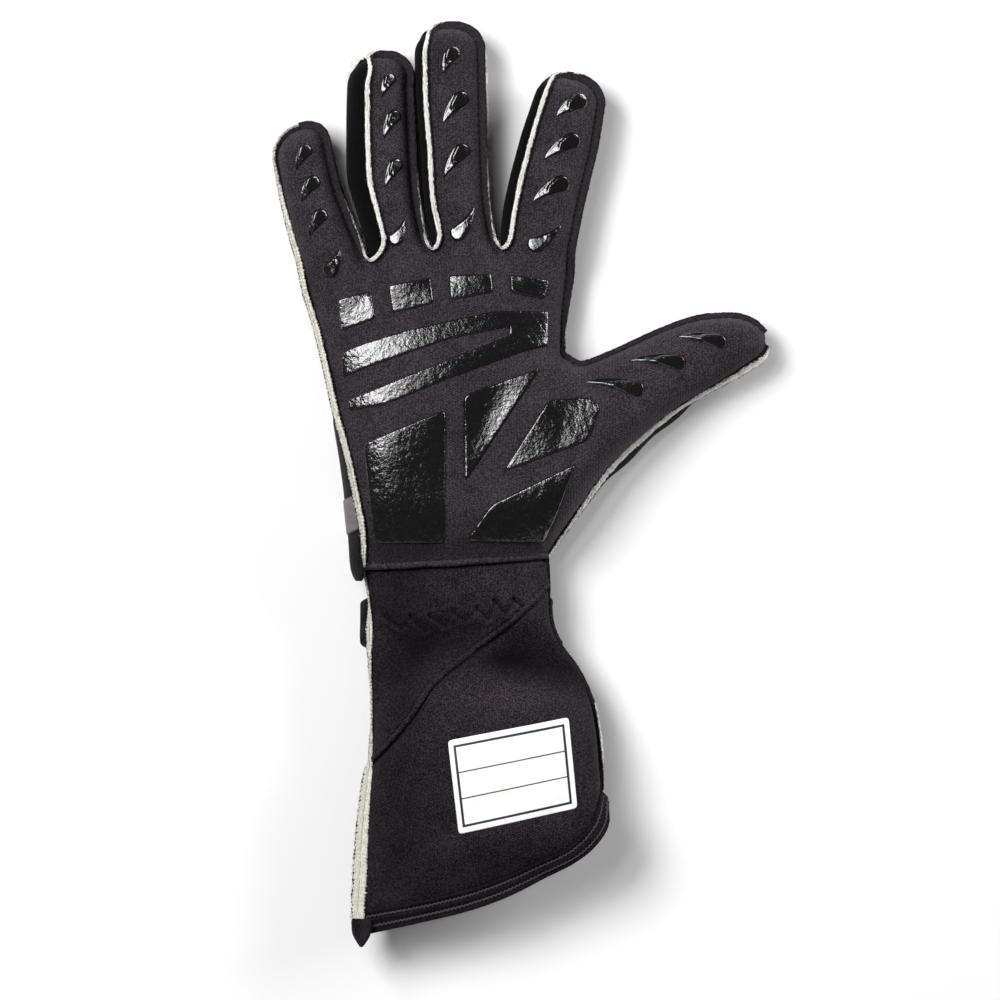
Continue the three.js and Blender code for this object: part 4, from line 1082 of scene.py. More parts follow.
class Finish:
    """A material, with short calls for the nodes that the finishes share."""

    def __init__(self, name):
        self.material = bpy.data.materials.new(name)
        self.material.use_nodes = True
        self.tree = self.material.node_tree

    def put(self, kind, entries=(), **settings):
        """A new node with its settings, and its sockets fed from pairs of a name or number and a value."""
        node = self.tree.nodes.new(kind)
        for key, value in settings.items():
            setattr(node, key, value)
        for key, value in dict(entries).items():
            self.feed(node.inputs[key], value)
        return node

    def feed(self, socket, value):
        """Links another node's output, or sets a plain value on the socket itself."""
        if isinstance(value, bpy.types.NodeSocket):
            self.tree.links.new(value, socket)
        else:
            socket.default_value = value

    def math(self, operation, a, b=0.0):
        return self.put("ShaderNodeMath", {0: a, 1: b}, operation=operation).outputs[0]

    def noise(self, vector, scale, detail, rough):
        entries = {"Vector": vector, "Scale": scale, "Detail": detail, "Roughness": rough}
        return self.put("ShaderNodeTexNoise", entries).outputs["Fac"]

    def range(self, *entries):
        """Remaps a value from a low and a high limit to 0 and 1, or to two other values."""
        return self.put("ShaderNodeMapRange", enumerate(entries)).outputs[0]

    def blend(self, share, a, b, how="MIX"):
        return self.put("ShaderNodeMix", {0: share, 6: a, 7: b}, data_type="RGBA", blend_type=how).outputs[2]

    def times(self, a, b):
        return self.blend(1.0, a, b, "MULTIPLY")

    def total(self, first, *others):
        for other in others:
            first = self.math("ADD", first, other)
        return first

    def off(self, value, middle, factor):
        """How far a value is off its middle, times a factor."""
        return self.math("MULTIPLY", self.math("SUBTRACT", value, middle), factor)

    def greys(self, value, *stops):
        """A ramp of greys, from pairs of a place and a lightness."""
        node = self.put("ShaderNodeValToRGB", {0: value})
        elements = node.color_ramp.elements
        while len(elements) < len(stops):
            elements.new(0.5)
        for element, (position, grey) in zip(elements, stops):
            element.position, element.color = position, (grey, grey, grey, 1)
        return node.outputs[0]

    def bump(self, height, distance, strength):
        return self.put("ShaderNodeBump", {"Strength": strength, "Distance": distance, "Height": height}).outputs[0]

    def place(self):
        return self.put("ShaderNodeTexCoord").outputs["Object"]

    def attribute(self, name):
        return self.put("ShaderNodeAttribute", attribute_name=name).outputs["Fac"]

    def weave(self):
        return self.put("ShaderNodeUVMap", uv_map="weave").outputs[0]

    def dressed(self, colour, roughness, normal, specular=None, sheen=None):
        """The finished material. A plain number goes on the shader's own socket."""
        shader = self.tree.nodes["Principled BSDF"]
        entries = (colour, roughness, normal, specular, sheen)
        for socket, entry in zip(("Base Color", "Roughness", "Normal", "Specular IOR Level", "Sheen Weight"), entries):
            if entry is not None:
                self.feed(shader.inputs[socket], entry)
        return self.material

    def loops(self, across, up):
        """Knit loops on the weave coordinates, each column half a loop off the last. Pitches are millimetres."""
        split = self.put("ShaderNodeSeparateXYZ", {0: self.weave()})
        column = self.math("DIVIDE", split.outputs[0], across)
        odd = self.math("FLOORED_MODULO", self.math("FLOOR", column), 2.0)
        row = self.math("ADD", self.math("DIVIDE", split.outputs[1], up), self.math("MULTIPLY", odd, 0.5))
        crowns = [self.math("SINE", self.math("MULTIPLY", self.math("FRACT", at), math.pi)) for at in (column, row)]
        return self.math("MULTIPLY", *crowns)


def shade(colour, factors):
    """A colour times one factor, or times one for each channel."""
    return (*[min(1.0, entry * factor) for entry, factor in zip(colour, np.broadcast_to(factors, 3))], 1.0)


def heathered(nodes, place, colour, tone):
    """Yarn colour with warm and cool strands mixed in, lighter and darker with the tone."""
    strands = nodes.noise(place, 900.0, 3.0, 0.7)
    warm, cool = shade(colour, (1.1, 0.97, 0.9)), shade(colour, (0.96, 0.97, 1.14))
    yarn = nodes.blend(nodes.range(strands, 0.38, 0.62), warm, cool)
    return nodes.times(yarn, nodes.greys(tone, (0.1, 0.1), (0.5, 0.42), (0.95, 1.0)))


def knit_material(name, colour, fleck=3.4, gloss=0.18, across=1.05, up=0.95, contrast=0.3, bump=0.0003):
    """Fine brushed knit: loops, heathered yarn, a soft nap and broad unevenness."""
    nodes = Finish(name)
    place, loops = nodes.place(), nodes.loops(across, up)
    yarn, cloud = nodes.noise(place, 1500.0, 3.0, 0.65), nodes.noise(place, 75.0, 4.0, 0.65)
    tone = nodes.total(nodes.off(loops, 0.4, contrast), nodes.off(yarn, 0.5, fleck), nodes.off(cloud, 0.5, 0.8), 0.5)
    yarns = heathered(nodes, place, shade(colour, 2.3), tone)
    height = nodes.total(nodes.math("MULTIPLY", loops, 0.55), nodes.math("MULTIPLY", yarn, 1.4))
    return nodes.dressed(
        # The yarn colour is multiplied by the painted light and shade of each point
        nodes.times(yarns, nodes.attribute("wear")), nodes.range(yarn, 0.3, 0.7, 0.75, 0.95),
        nodes.bump(height, bump, 0.8), gloss, gloss / 5)


def raw_edge_material(name, face, old=False):
    """Seam allowance: knit faces and a pale fibrous core where the laminate was cut."""
    colours = bpy.context.scene.glove_colours
    cream, shadow = (colours.side_raw_edge, colours.side_raw_shadow) if old else (colours.raw_edge, colours.raw_shadow)
    nodes = Finish(name)
    place = nodes.place()
    fibre, patchy = nodes.noise(place, 2600.0, 3.0, 0.65), nodes.noise(place, 260.0, 2.0, 0.5)
    along = nodes.put("ShaderNodeVectorMath", {0: nodes.weave(), 1: (0.45, 3.4, 1.0)}, operation="MULTIPLY")
    strand = nodes.noise(along.outputs[0], 1.0, 3.0, 0.6)
    lining = nodes.blend(nodes.range(nodes.times(fibre, strand), 0.12, 0.26), shadow, cream)
    lining = nodes.blend(nodes.range(patchy, 0.55, 0.8, 0.0, 0.35), lining, shadow)
    tone = nodes.total(nodes.math("MULTIPLY", nodes.noise(place, 1300.0, 3.0, 0.6), 1.2), -0.1)
    cloth = heathered(nodes, place, shade(face, 2.2), tone)
    cut = nodes.range(nodes.total(nodes.attribute("core"), nodes.off(fibre, 0.5, 0.4)), 0.42, 0.58)
    relief = nodes.total(nodes.math("MULTIPLY", strand, 1.6), fibre)
    return nodes.dressed(
        nodes.blend(cut, cloth, lining), nodes.range(fibre, 0.3, 0.7, 0.85, 0.98), nodes.bump(relief, 0.0003, 0.9),
        0.12, 0.05)


def silicone_material(name, colour, creases=520.0, relief=0.00035):
    """Glossy printed silicone with a thin, creased and pebbled skin."""
    nodes = Finish(name)
    place = nodes.place()
    pebble, crease = nodes.noise(place, 1300.0, 2.0, 0.5), nodes.noise(place, creases, 2.0, 0.55)
    height = nodes.total(nodes.math("MULTIPLY", crease, 0.9), nodes.math("MULTIPLY", pebble, 0.35))
    return nodes.dressed(
        nodes.blend(nodes.range(crease, 0.35, 0.7), shade(colour, 0.7), shade(colour, 1.4)),
        nodes.range(pebble, 0.35, 0.7, 0.12, 0.24), nodes.bump(height, relief, 0.9), 1.0)


def thread_material(name, colour, brightness=1.0):
    """Twisted sewing thread."""
    nodes = Finish(name)
    twist = nodes.noise(nodes.place(), 3000.0, 2.0, 0.6)
    dark, pale = (shade(shade(colour, brightness), factor) for factor in (0.6, 1.5))
    shown = nodes.blend(nodes.range(twist, 0.35, 0.65), dark, pale)
    return nodes.dressed(shown, 0.8, nodes.bump(twist, 0.0001, 0.7), 0.15)


def plain_material(name, colour, roughness, grain=0.00002, spread=0.03):
    """Smooth surface with a faint grain, for the label's film and print, the stripe and the floor."""
    nodes = Finish(name)
    cloud = nodes.noise(nodes.place(), 420.0, 3.0, 0.6)
    shown = nodes.blend(nodes.range(cloud, 0.3, 0.7), shade(colour, 1 - spread), shade(colour, 1 + spread))
    return nodes.dressed(shown, roughness, nodes.bump(cloud, grain, 0.5))


# Maker of each finish, the user's colour that it has, and the maker's other settings
FINISHES = {
    "palm_knit": (knit_material, "palm_knit"),
    "back_knit": (knit_material, "back_knit"),
    "gusset_knit": (knit_material, "gusset_knit", 3.6, 0.08, 0.8, 0.75, 0.9, 0.0004),
    "cuff_knit": (knit_material, "cuff_knit", 3.5, 0.08),
    "hem_knit": (knit_material, "hem_knit", 3.4, 0.1, 0.8, 0.75),
    "strap_webbing": (knit_material, "back_knit", 0.5, 0.18, 1.6, 1.0, 0.9, 0.0004),
    "lining": (knit_material, "lining", 0.4, 0.18, 1.3, 1.1, 0.25, 0.0002),
    **{f"{cloth}_edge": (raw_edge_material, f"{cloth}_knit") for cloth in ("palm", "cuff", "gusset")},
    **{f"{cloth}_edge_old": (raw_edge_material, f"{cloth}_knit", True) for cloth in ("palm", "cuff", "gusset")},
    "loose_fibre": (thread_material, "raw_edge"),
    "knit_nap": (thread_material, "back_knit"),
    "thread": (thread_material, "thread"),
    "hem_thread": (thread_material, "hem_knit", 7.5),
    "silicone": (silicone_material, "silicone"),
    "silicone_drops": (silicone_material, "silicone", 330.0, 0.00022),
    "stripe_print": (plain_material, "stripe", 0.6, 0.0001, 0.15),
    "label_film": (plain_material, "label", 0.45),
    "label_print": (plain_material, "print_black", 0.5),
    "floor_paper": (plain_material, "floor", 0.9, 0.00001, 0.004),
}


def finish_named(name):
    """The material of that name, made on its first use."""
    made = bpy.data.materials.get(name)
    if made is None:
        maker, colour, *settings = FINISHES[name]
        made = maker(name, getattr(bpy.context.scene.glove_colours, colour), *settings)
    return made


def settle(piece, slot, *nodes):
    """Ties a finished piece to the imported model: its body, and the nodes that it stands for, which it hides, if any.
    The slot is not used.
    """
    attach(piece, "root")
    if nodes:
        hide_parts(*nodes)
    return piece


def sewn_piece(name, stitches, slot, finish="thread"):
    points, faces, _ = stitches
    settle(new_mesh(name, grounded(points), faces, points[:, :2], finishes=[finish]), slot)


# Pads and label on the cloth

def rounded_outline(radius, corners, step=0.6):
    """Polygon whose corners are cut by short curves, sampled evenly."""
    corners = np.array(corners, float)
    line = []
    for i, corner in enumerate(corners):
        ends = []
        for other in (corners[i - 1], corners[(i + 1) % len(corners)]):
            length = norm(other - corner)
            ends.append(mix(corner, other, min(radius, length / 3) / length))
        for t in np.linspace(0, 1, 7):
            line.append(mix(mix(ends[0], corner, t), mix(corner, ends[1], t), t))
    return resampled(np.array(line), step)


def tear_outline(tail_x, tail_y, head_x, head_y, radius, step=0.4):
    """Bowed drop: a pointed tail, a full outer side, a hollow inner side and a round head."""
    tail, head = np.array((tail_x, tail_y)), np.array((head_x, head_y))
    axis = head - tail
    length = norm(axis)
    axis /= length
    normal = np.array((-axis[1], axis[0]))
    upper, lower = [], []
    for t in np.linspace(0, 1, 24)[1:]:
        middle = tail + axis * length * t + normal * 0.04 * length * math.sin(math.pi * t)
        upper.append(middle + normal * radius * 1.08 * t ** 0.52)
        lower.append(middle - normal * radius * t ** 1.1)
    heading = math.atan2(axis[1], axis[0])
    cap = [head + radius * np.array((math.cos(a), math.sin(a)))
           for a in np.linspace(heading - math.pi / 2, heading + math.pi / 2, 15)[1:-1]]
    return resampled(np.array([tail, *lower, *cap, *upper[::-1]]), step)


def resampled(line, step):
    closed = np.concatenate([line, line[:1]])
    lengths = run_lengths(closed)
    count = max(12, round(lengths[-1] / step))
    return read_along(closed, lengths, np.linspace(0, lengths[-1], count + 1)[:-1])


def edge_distance(points, outline):
    """Distance from points in the plane to a closed outline, negative outside it."""
    a, b = outline, np.roll(outline, -1, axis=0)
    run = b - a
    length = (run ** 2).sum(1)
    to = points[:, None] - a[None]
    t = np.clip((to * run[None]).sum(-1) / length, 0, 1)
    away = norm(to - t[..., None] * run[None], axis=-1).min(1)
    x, y = points[:, 0:1], points[:, 1:2]
    crosses = (a[:, 1] > y) != (b[:, 1] > y)
    rise = np.where(run[:, 1] == 0, 1e-9, run[:, 1])
    at = a[:, 0] + (y - a[:, 1]) * run[:, 0] / rise
    inside = ((crosses & (x < at)).sum(1) % 2) == 1
    return np.where(inside, away, -away)


def filled(outline, pitch, rings=(0.0, 0.1, 0.25, 0.45, 0.7)):
    """Triangulated inside of an outline, with close rings along its edge. Gives points, faces and edge distance."""
    low, high = outline.min(0), outline.max(0)
    xs = np.arange(low[0], high[0], pitch)
    ys = np.arange(low[1], high[1], pitch * 0.87)
    inner = np.array([(x + (pitch / 2 if j % 2 else 0), y) for j, y in enumerate(ys) for x in xs])
    inner = inner[edge_distance(inner, outline) > rings[-1] + pitch * 0.45]
    points = [outline]
    before, after = np.roll(outline, 1, axis=0), np.roll(outline, -1, axis=0)
    run = after - before
    normal = np.stack([run[:, 1], -run[:, 0]], 1) / norm(run, axis=1)[:, None]
    turning = ((outline[:, 0] * after[:, 1]) - (after[:, 0] * outline[:, 1])).sum()
    normal *= -np.sign(turning)
    for ring in rings[1:]:
        moved = outline + normal * ring
        points.append(moved[edge_distance(moved, outline) > ring * 0.85])
    points.append(inner)
    flat = np.concatenate(points)
    count = len(outline)
    edges = [(i, (i + 1) % count) for i in range(count)]
    found, _, faces, *_ = geometry.delaunay_2d_cdt([Vector(p) for p in flat], edges, [], 1, 1e-4)
    flat = np.array([tuple(p) for p in found])
    return flat, [list(face) for face in faces], np.maximum(edge_distance(flat, outline), 0)


def cloth_tree(name):
    """The outer face of a finished panel, for laying things on it."""
    mesh = bpy.data.objects[name].data
    faces = [tuple(p.vertices) for p in mesh.polygons if p.material_index == 0]
    return BVHTree.FromPolygons(read(mesh.vertices, "co", 3).tolist(), faces)


def dropped(tree, flat, from_below=False):
    """Points of a cloth face under or over places in the plane, and its normals there, in millimetres."""
    points, normals = [], []
    start, aim = (-0.05, 1) if from_below else (0.1, -1)
    for x, y in flat:
        at = Vector(((x - CENTRE[0]) * MM, (y - CENTRE[1]) * MM, start))
        hit, normal, _, _ = tree.ray_cast(at, Vector((0, 0, aim)))
        if hit is None:
            hit, normal, _, _ = tree.find_nearest(Vector((at.x, at.y, 0.012)))
        points.append((x, y, hit.z / MM))
        normals.append(tuple(normal))
    return np.array(points), np.array(normals)


def closed_faces(flat, faces):
    """Faces of a closed slab: a top over points in the plane, the same below it, and its rim."""
    count = len(flat)
    a, b, c = (flat[faces[0][k]] for k in range(3))
    upwards = (b[0] - a[0]) * (c[1] - a[1]) - (b[1] - a[1]) * (c[0] - a[0]) > 0
    upper = faces if upwards else [face[::-1] for face in faces]
    edges = {(a, b) for face in upper for a, b in zip(face, face[1:] + face[:1])}
    rim = [[b, a, a + count, b + count] for a, b in sorted(edges) if (b, a) not in edges]
    lower = [[k + count for k in face[::-1]] for face in upper]
    return upper + lower + rim


CREST_SIDE = 0.75  # how far off a drop's middle its ridge lies, at the tail and at the head


def twisted_crest(flat, tail_x, tail_y, head_x, head_y, radius):
    """Height share of a drop's ridge, which crosses from its inner side at the tail to its outer side at the head."""
    tail, axis = np.array((tail_x, tail_y)), np.array((head_x - tail_x, head_y - tail_y))
    length = norm(axis)
    axis = axis / length
    to = flat - tail
    t = np.clip(to @ axis / length, 0, 1)
    across = np.clip(to @ np.array((-axis[1], axis[0])) / (radius * np.maximum(t, 0.2) ** 0.7), -1, 1)
    turned = np.clip((t - 0.4) / 0.3, 0, 1)
    crest = mix(-CREST_SIDE, CREST_SIDE, eased(turned))
    ridge = np.where(across > crest, (1 - across) / (1 - crest), (1 + across) / (1 + crest))
    return np.minimum(ridge, 0.9) * np.clip(t * 3, 0, 1)


PAD_SUNK = 0.25  # depth of a pad's underside in the cloth
PAD_RELIEF = 0.07  # unevenness of a grip's top
# A drop's height shares: as of a flat pad, and as its ridge
DROP_FLAT, DROP_RIDGE = 0.35, 1.6


def pad_piece(name, tree, outline, height, pitch, finish, relief, edge=0.7, seed=1, ridge=None):
    """A low raised piece printed on the cloth, closed below, with rounded edges and an uneven top."""
    flat, faces, inset = filled(outline, pitch)
    base, normals = dropped(tree, flat)
    spread = smoothed_normals(normals, faces)
    share = np.clip(inset / edge, 0, 1)
    lift = height * np.sqrt(np.maximum(0, 1 - (1 - share) ** 2))
    if ridge is not None:
        lift = lift * DROP_FLAT + DROP_RIDGE * height * share * ridge(flat)
    lift += relief * share * (ripples(base, 2.6, seed) + 0.6 * ripples(base * (1.0, 0.55, 1.0), 1.1, seed + 1))
    both = np.concatenate([base + spread * lift[:, None], base - spread * PAD_SUNK])
    return new_mesh(name, both, closed_faces(flat, faces), both[:, :2], finishes=[finish])


def smoothed_normals(normals, faces):
    """Evens out normals over the neighbours in the faces."""
    result = normals.copy()
    for _ in range(3):
        total = result.copy()
        for face in faces:
            total[face] += result[face].sum(0)
        result = unit(total)
    return result


# Sizes and colours

def length_property(label, text, default):
    return bpy.props.FloatProperty(name=label, description=text, default=default, unit="LENGTH", precision=5)


def colour_property(label, text, default):
    return bpy.props.FloatVectorProperty(
        name=label, description=text, default=(*default, 1.0), size=4, subtype="COLOR", min=0.0, max=1.0)


class GloveSizes(bpy.types.PropertyGroup):
    """Sizes of the glove's trimmings"""

    wall: length_property("Cloth", "Thickness of the laminated cloth", 0.0016)
    seam_height: bpy.props.FloatProperty(
        name="Seam height", description="Height of the raised seams, against the real glove's", default=1.0)
    seam_layer: bpy.props.FloatProperty(
        name="Seam layers", description="Thickness of the seams' layers, against the real glove's", default=1.0)
    pad_height: length_property("Grip height", "Height of the printed silicone grips", 0.0008)
    label_height: length_property("Label height", "Thickness of the label's film", 0.00035)
    thread: length_property("Thread", "Radius of the sewing thread", 0.00016)


class GloveColours(bpy.types.PropertyGroup):
    """Colours of the glove's finishes"""

    palm_knit: colour_property("Palm", "Knit of the palm side", (0.0245, 0.02, 0.0245))
    cuff_knit: colour_property("Cuff", "Knit of the cuff", (0.0182, 0.0147, 0.0182))
    back_knit: colour_property("Back", "Knit of the back of the hand", (0.0085, 0.0075, 0.0085))
    gusset_knit: colour_property("Gussets", "Knit between the fingers", (0.0017, 0.0015, 0.0016))
    hem_knit: colour_property("Hem", "Binding of the cuff's end", (0.0085, 0.007, 0.0083))
    lining: colour_property("Lining", "Inside of the glove", (0.62, 0.59, 0.52))
    raw_edge: colour_property("Raw edge", "Cut edge of the finger and thumb seams", (0.94, 0.92, 0.87))
    raw_shadow: colour_property("Raw edge shade", "Hollows between the fibres of that edge", (0.58, 0.56, 0.50))
    side_raw_edge: colour_property("Side edge", "Cut edge of the outer side seam", (0.80, 0.78, 0.68))
    side_raw_shadow: colour_property("Side edge shade", "Hollows between the fibres of that edge", (0.34, 0.32, 0.26))
    silicone: colour_property("Grips", "Printed silicone grips", (0.0025, 0.0025, 0.0028))
    thread: colour_property("Thread", "Sewing thread", (0.006, 0.005, 0.006))
    label: colour_property("Label", "Film of the label", (0.92, 0.92, 0.91))
    print_black: colour_property("Label rules", "Printed rules of the label", (0.02, 0.02, 0.024))
    stripe: colour_property("Stripe", "Plain stripe on the back of the hand", (0.13, 0.115, 0.12))
    floor: colour_property("Floor", "Pale studio floor", (0.97, 0.97, 0.97))


# Pieces

# Columns: finish, slot, subdivision, wave, pucker, seams that hold the panel, its own shaping, and the width, length
# and area of its flat cut in metres
PANELS = {
    "palm_panel": (
        "palm_knit", "palm", 2, 0.26, 0.2, ["side_seam", "index_thumb_seam", "thumb_seam", *FINGER_SEAMS],
        palm_mounds, (0.19, 0.22, 0.0219)),
    "back_panel": (
        "back_knit", "back", 1, 0.2, 0.15, ["side_seam", "index_thumb_seam", *BACK_SEAMS], back_pouch,
        (0.12, 0.22, 0.0196)),
    "thumb_back": (
        "back_knit", "back", 2, 0.15, 0.15, ["index_thumb_seam", "thumb_seam"], thumb_fullness, (0.09, 0.09, 0.0045)),
    "cuff_wrist_palm": ("cuff_knit", "cuff", 2, 0.3, 0.2, CUFF_SEAMS, wrist_gathers, (0.08, 0.075, 0.0033)),
    "cuff_lower_palm": ("cuff_knit", "cuff", 2, 0.3, 0.12, CUFF_SEAMS, gauntlet_folds, (0.11, 0.14, 0.0084)),
    "cuff_back": ("back_knit", "back", 1, 0.3, 0.2, CUFF_SEAMS, None, (0.11, 0.15, 0.0116)),
    "hem_palm": ("hem_knit", "hem", 2, 0.1, 0, ["hem_line"], hem_ridge, (0.115, 0.015, 0.0011)),
    "hem_back": ("hem_knit", "hem", 2, 0.1, 0, ["hem_line"], hem_ridge, (0.115, 0.015, 0.001)),
    **{
        "fourchette_" + pair: (
            "gusset_knit", "back", 2, 0.2, 0.12, ["finger_seam_" + pair, "back_seam_" + pair], None, cut)
        for pair, cut in zip(PAIRS, [(0.02, 0.15, 0.002), (0.02, 0.17, 0.002), (0.02, 0.17, 0.0019)])
    },
}


class PieceOperator(bpy.types.Operator):
    """Shared setting of the operators"""

    bl_options = {"REGISTER", "UNDO"}


class GLOVE_OT_panels(PieceOperator):
    """Make the knit panels of the hand, fingers, thumb and cuff"""

    bl_idname = "glove.panels"
    bl_label = "Cloth panels"

    def execute(self, context):
        wall = context.scene.glove_sizes.wall / MM
        for seed, (node, row) in enumerate(PANELS.items()):
            finish, slot, levels, wave, pucker, seams, extra, (width, length, area) = row
            shape = soft_shape(seams, wave, pucker, 10 + 3 * seed, extra)
            points, faces, weave, picks = cloth_shell(sheets[node], levels, shape, wall)
            # Painted light and shade: the cloth's colour at each point is scaled by the table of painted darkening and
            # lightening
            wear = {"wear": 1 + swell(points, PAINTED_SHADING)}
            piece = new_mesh(node + "_cloth", points, faces, weave, wear, picks, [finish, "lining"])
            settle(piece, slot, node)
        return {"FINISHED"}


# Rows of a raised seam. Columns: share of its length, height, thickness of one layer, turn up to the viewer.
SEAM_ROWS = {
    "side_seam": [
        (0, 2.4, 0.45, 0.2), (0.04, 2.4, 0.5, 0.4), (0.12, 2.1, 0.7, 0.5), (0.2, 2.4, 1.2, 0.66),
        (0.35, 2.6, 1.35, 0.7), (0.9, 2.6, 1.35, 0.7), (0.97, 1.9, 0.9, 0.7), (1, 1, 0.4, 0.7)],
    "index_thumb_seam": [
        (0, 2.9, 0.5, 0.2), (0.03, 3, 0.55, 0), (0.06, 3, 0.55, -0.12), (0.45, 2.9, 0.6, -0.1),
        (0.53, 1.9, 0.6, 0.1), (0.6, 1.9, 0.6, -0.05), (0.95, 2.2, 0.55, -0.1), (1, 1.6, 0.45, -0.1)],
    "thumb_seam": [
        (0, 1.8, 0.7, 0.2), (0.06, 3, 1.6, 0.5), (0.15, 2.6, 1.3, 0.55), (0.3, 2, 0.9, 0.62),
        (0.5, 2.2, 1.1, 0.7), (0.7, 2.2, 1.2, 0.7), (0.85, 2, 0.9, 0.62), (1, 1.2, 0.4, 0.5)],
    "cuff_left_seam": [
        (0, 1, 0.35, 0.5), (0.1, 1.5, 0.5, 0.6), (0.18, 2, 1.4, 0.75), (0.26, 1.7, 0.85, 0.65),
        (0.33, 1.3, 0.6, 0.45), (0.45, 1.2, 0.5, 0.4), (0.49, 1.7, 0.8, 0.6), (0.555, 2, 0.95, 0.62),
        (0.59, 2.6, 2.2, 0.7), (0.7, 2.7, 2.6, 0.72), (0.86, 2.9, 3, 0.72), (1, 2.8, 2.8, 0.7)],
    "cuff_right_seam": [
        (0, 1, 0.45, -0.1), (0.12, 0.8, 0.45, -0.1), (0.2, 0.4, 0.4, -0.3), (0.32, 0.6, 0.45, -0.2),
        (0.45, 1.3, 0.55, -0.1), (0.6, 1.4, 0.55, -0.1), (0.68, 1.9, 0.7, 0.25), (0.88, 1.9, 0.7, 0.25),
        (0.95, 1.3, 0.55, 0), (1, 0.9, 0.45, 0)],
}
# The same for the seams round two fingers: -1 is the first fingertip, 0 the crotch and 1 the second fingertip.
FINGER_SEAM_ROWS = [
    (-1, 2.9, 0.5, -0.12), (-0.9, 3, 0.55, -0.05), (-0.5, 3, 0.55, 0.04), (-0.12, 2.7, 0.6, 0.25),
    (0, 1.9, 0.75, 0.55), (0.1, 1.9, 0.9, 0.6), (0.5, 1.9, 0.95, 0.55), (0.84, 1.9, 0.85, 0.5),
    (0.93, 2.1, 0.6, 0.3), (1, 2.9, 0.5, -0.1)]
BACK_SEAM_ROWS = [
    (-1, 0.2, 0.3, -0.1), (-0.96, 1.1, 0.5, -0.1), (0, 1.4, 0.55, -0.1), (0.96, 1.1, 0.5, -0.1), (1, 0.2, 0.3, -0.1)]
# How far the back's own layer shows past the gusset's. Columns: place along the seam, reach, turn up to the viewer.
BACK_LAYER_SHOWS = {
    "back_seam_little_ring": [
        (-1, 0, 0), (-0.96, 0.4, 0), (-0.7, 0.6, 0.1), (-0.55, 4.4, 0.36), (-0.2, 4.4, 0.36), (-0.1, 0.4, 0),
        (0.7, 0.4, 0), (0.8, 1.9, 0.3), (0.93, 2.3, 0.25), (0.97, 1.6, 0.1), (1, 0, 0)],
    "back_seam_ring_middle": [
        (-1, 0, 0), (-0.97, 1.2, 0.06), (-0.86, 4.2, 0.34), (-0.25, 4.4, 0.36), (-0.12, 0.4, 0), (0.96, 0.4, 0),
        (1, 0, 0)],
    "back_seam_middle_index": [
        (-1, 0, 0), (-0.97, 1.2, 0.06), (-0.86, 4.6, 0.34), (-0.5, 5, 0.38), (-0.22, 4.6, 0.36), (-0.12, 0.5, 0),
        (0.85, 0.4, 0), (0.96, 1.2, 0.1), (1, 0, 0)],
}
# Depth of the overlock's bites into a seam's top edge
OVERLOCKED = {"side_seam": 0.9, "cuff_left_seam": 0.7, "thumb_seam": 0.25}
PALM_STITCHES = ["index_thumb_seam", *FINGER_SEAMS]
PALM_STITCH, PALM_STITCH_PITCH = 3, 5  # in steps along the seam
RUN_ON = 5  # steps by which the cuff's left seam runs on into the hem's tab
CROTCH_FRAY = (0.52, 0.05)  # pale core that the crotches lack, and the share of a seam over which they do
LOOSE_FIBRE, NAP_HAIR = 0.75, 0.8  # greatest lengths


def seam_places(node, points):
    """Place of each point along a seam, as its table of rows counts it, and that table."""
    steps, last = np.arange(len(points)), len(points) - 1
    if node in SEAM_ROWS:
        return steps / last, SEAM_ROWS[node]
    crotch = int(np.argmin(points[:, 1]))
    place = np.where(steps < crotch, steps / crotch - 1, (steps - crotch) / (last - crotch))
    return place, FINGER_SEAM_ROWS if node in FINGER_SEAMS else BACK_SEAM_ROWS


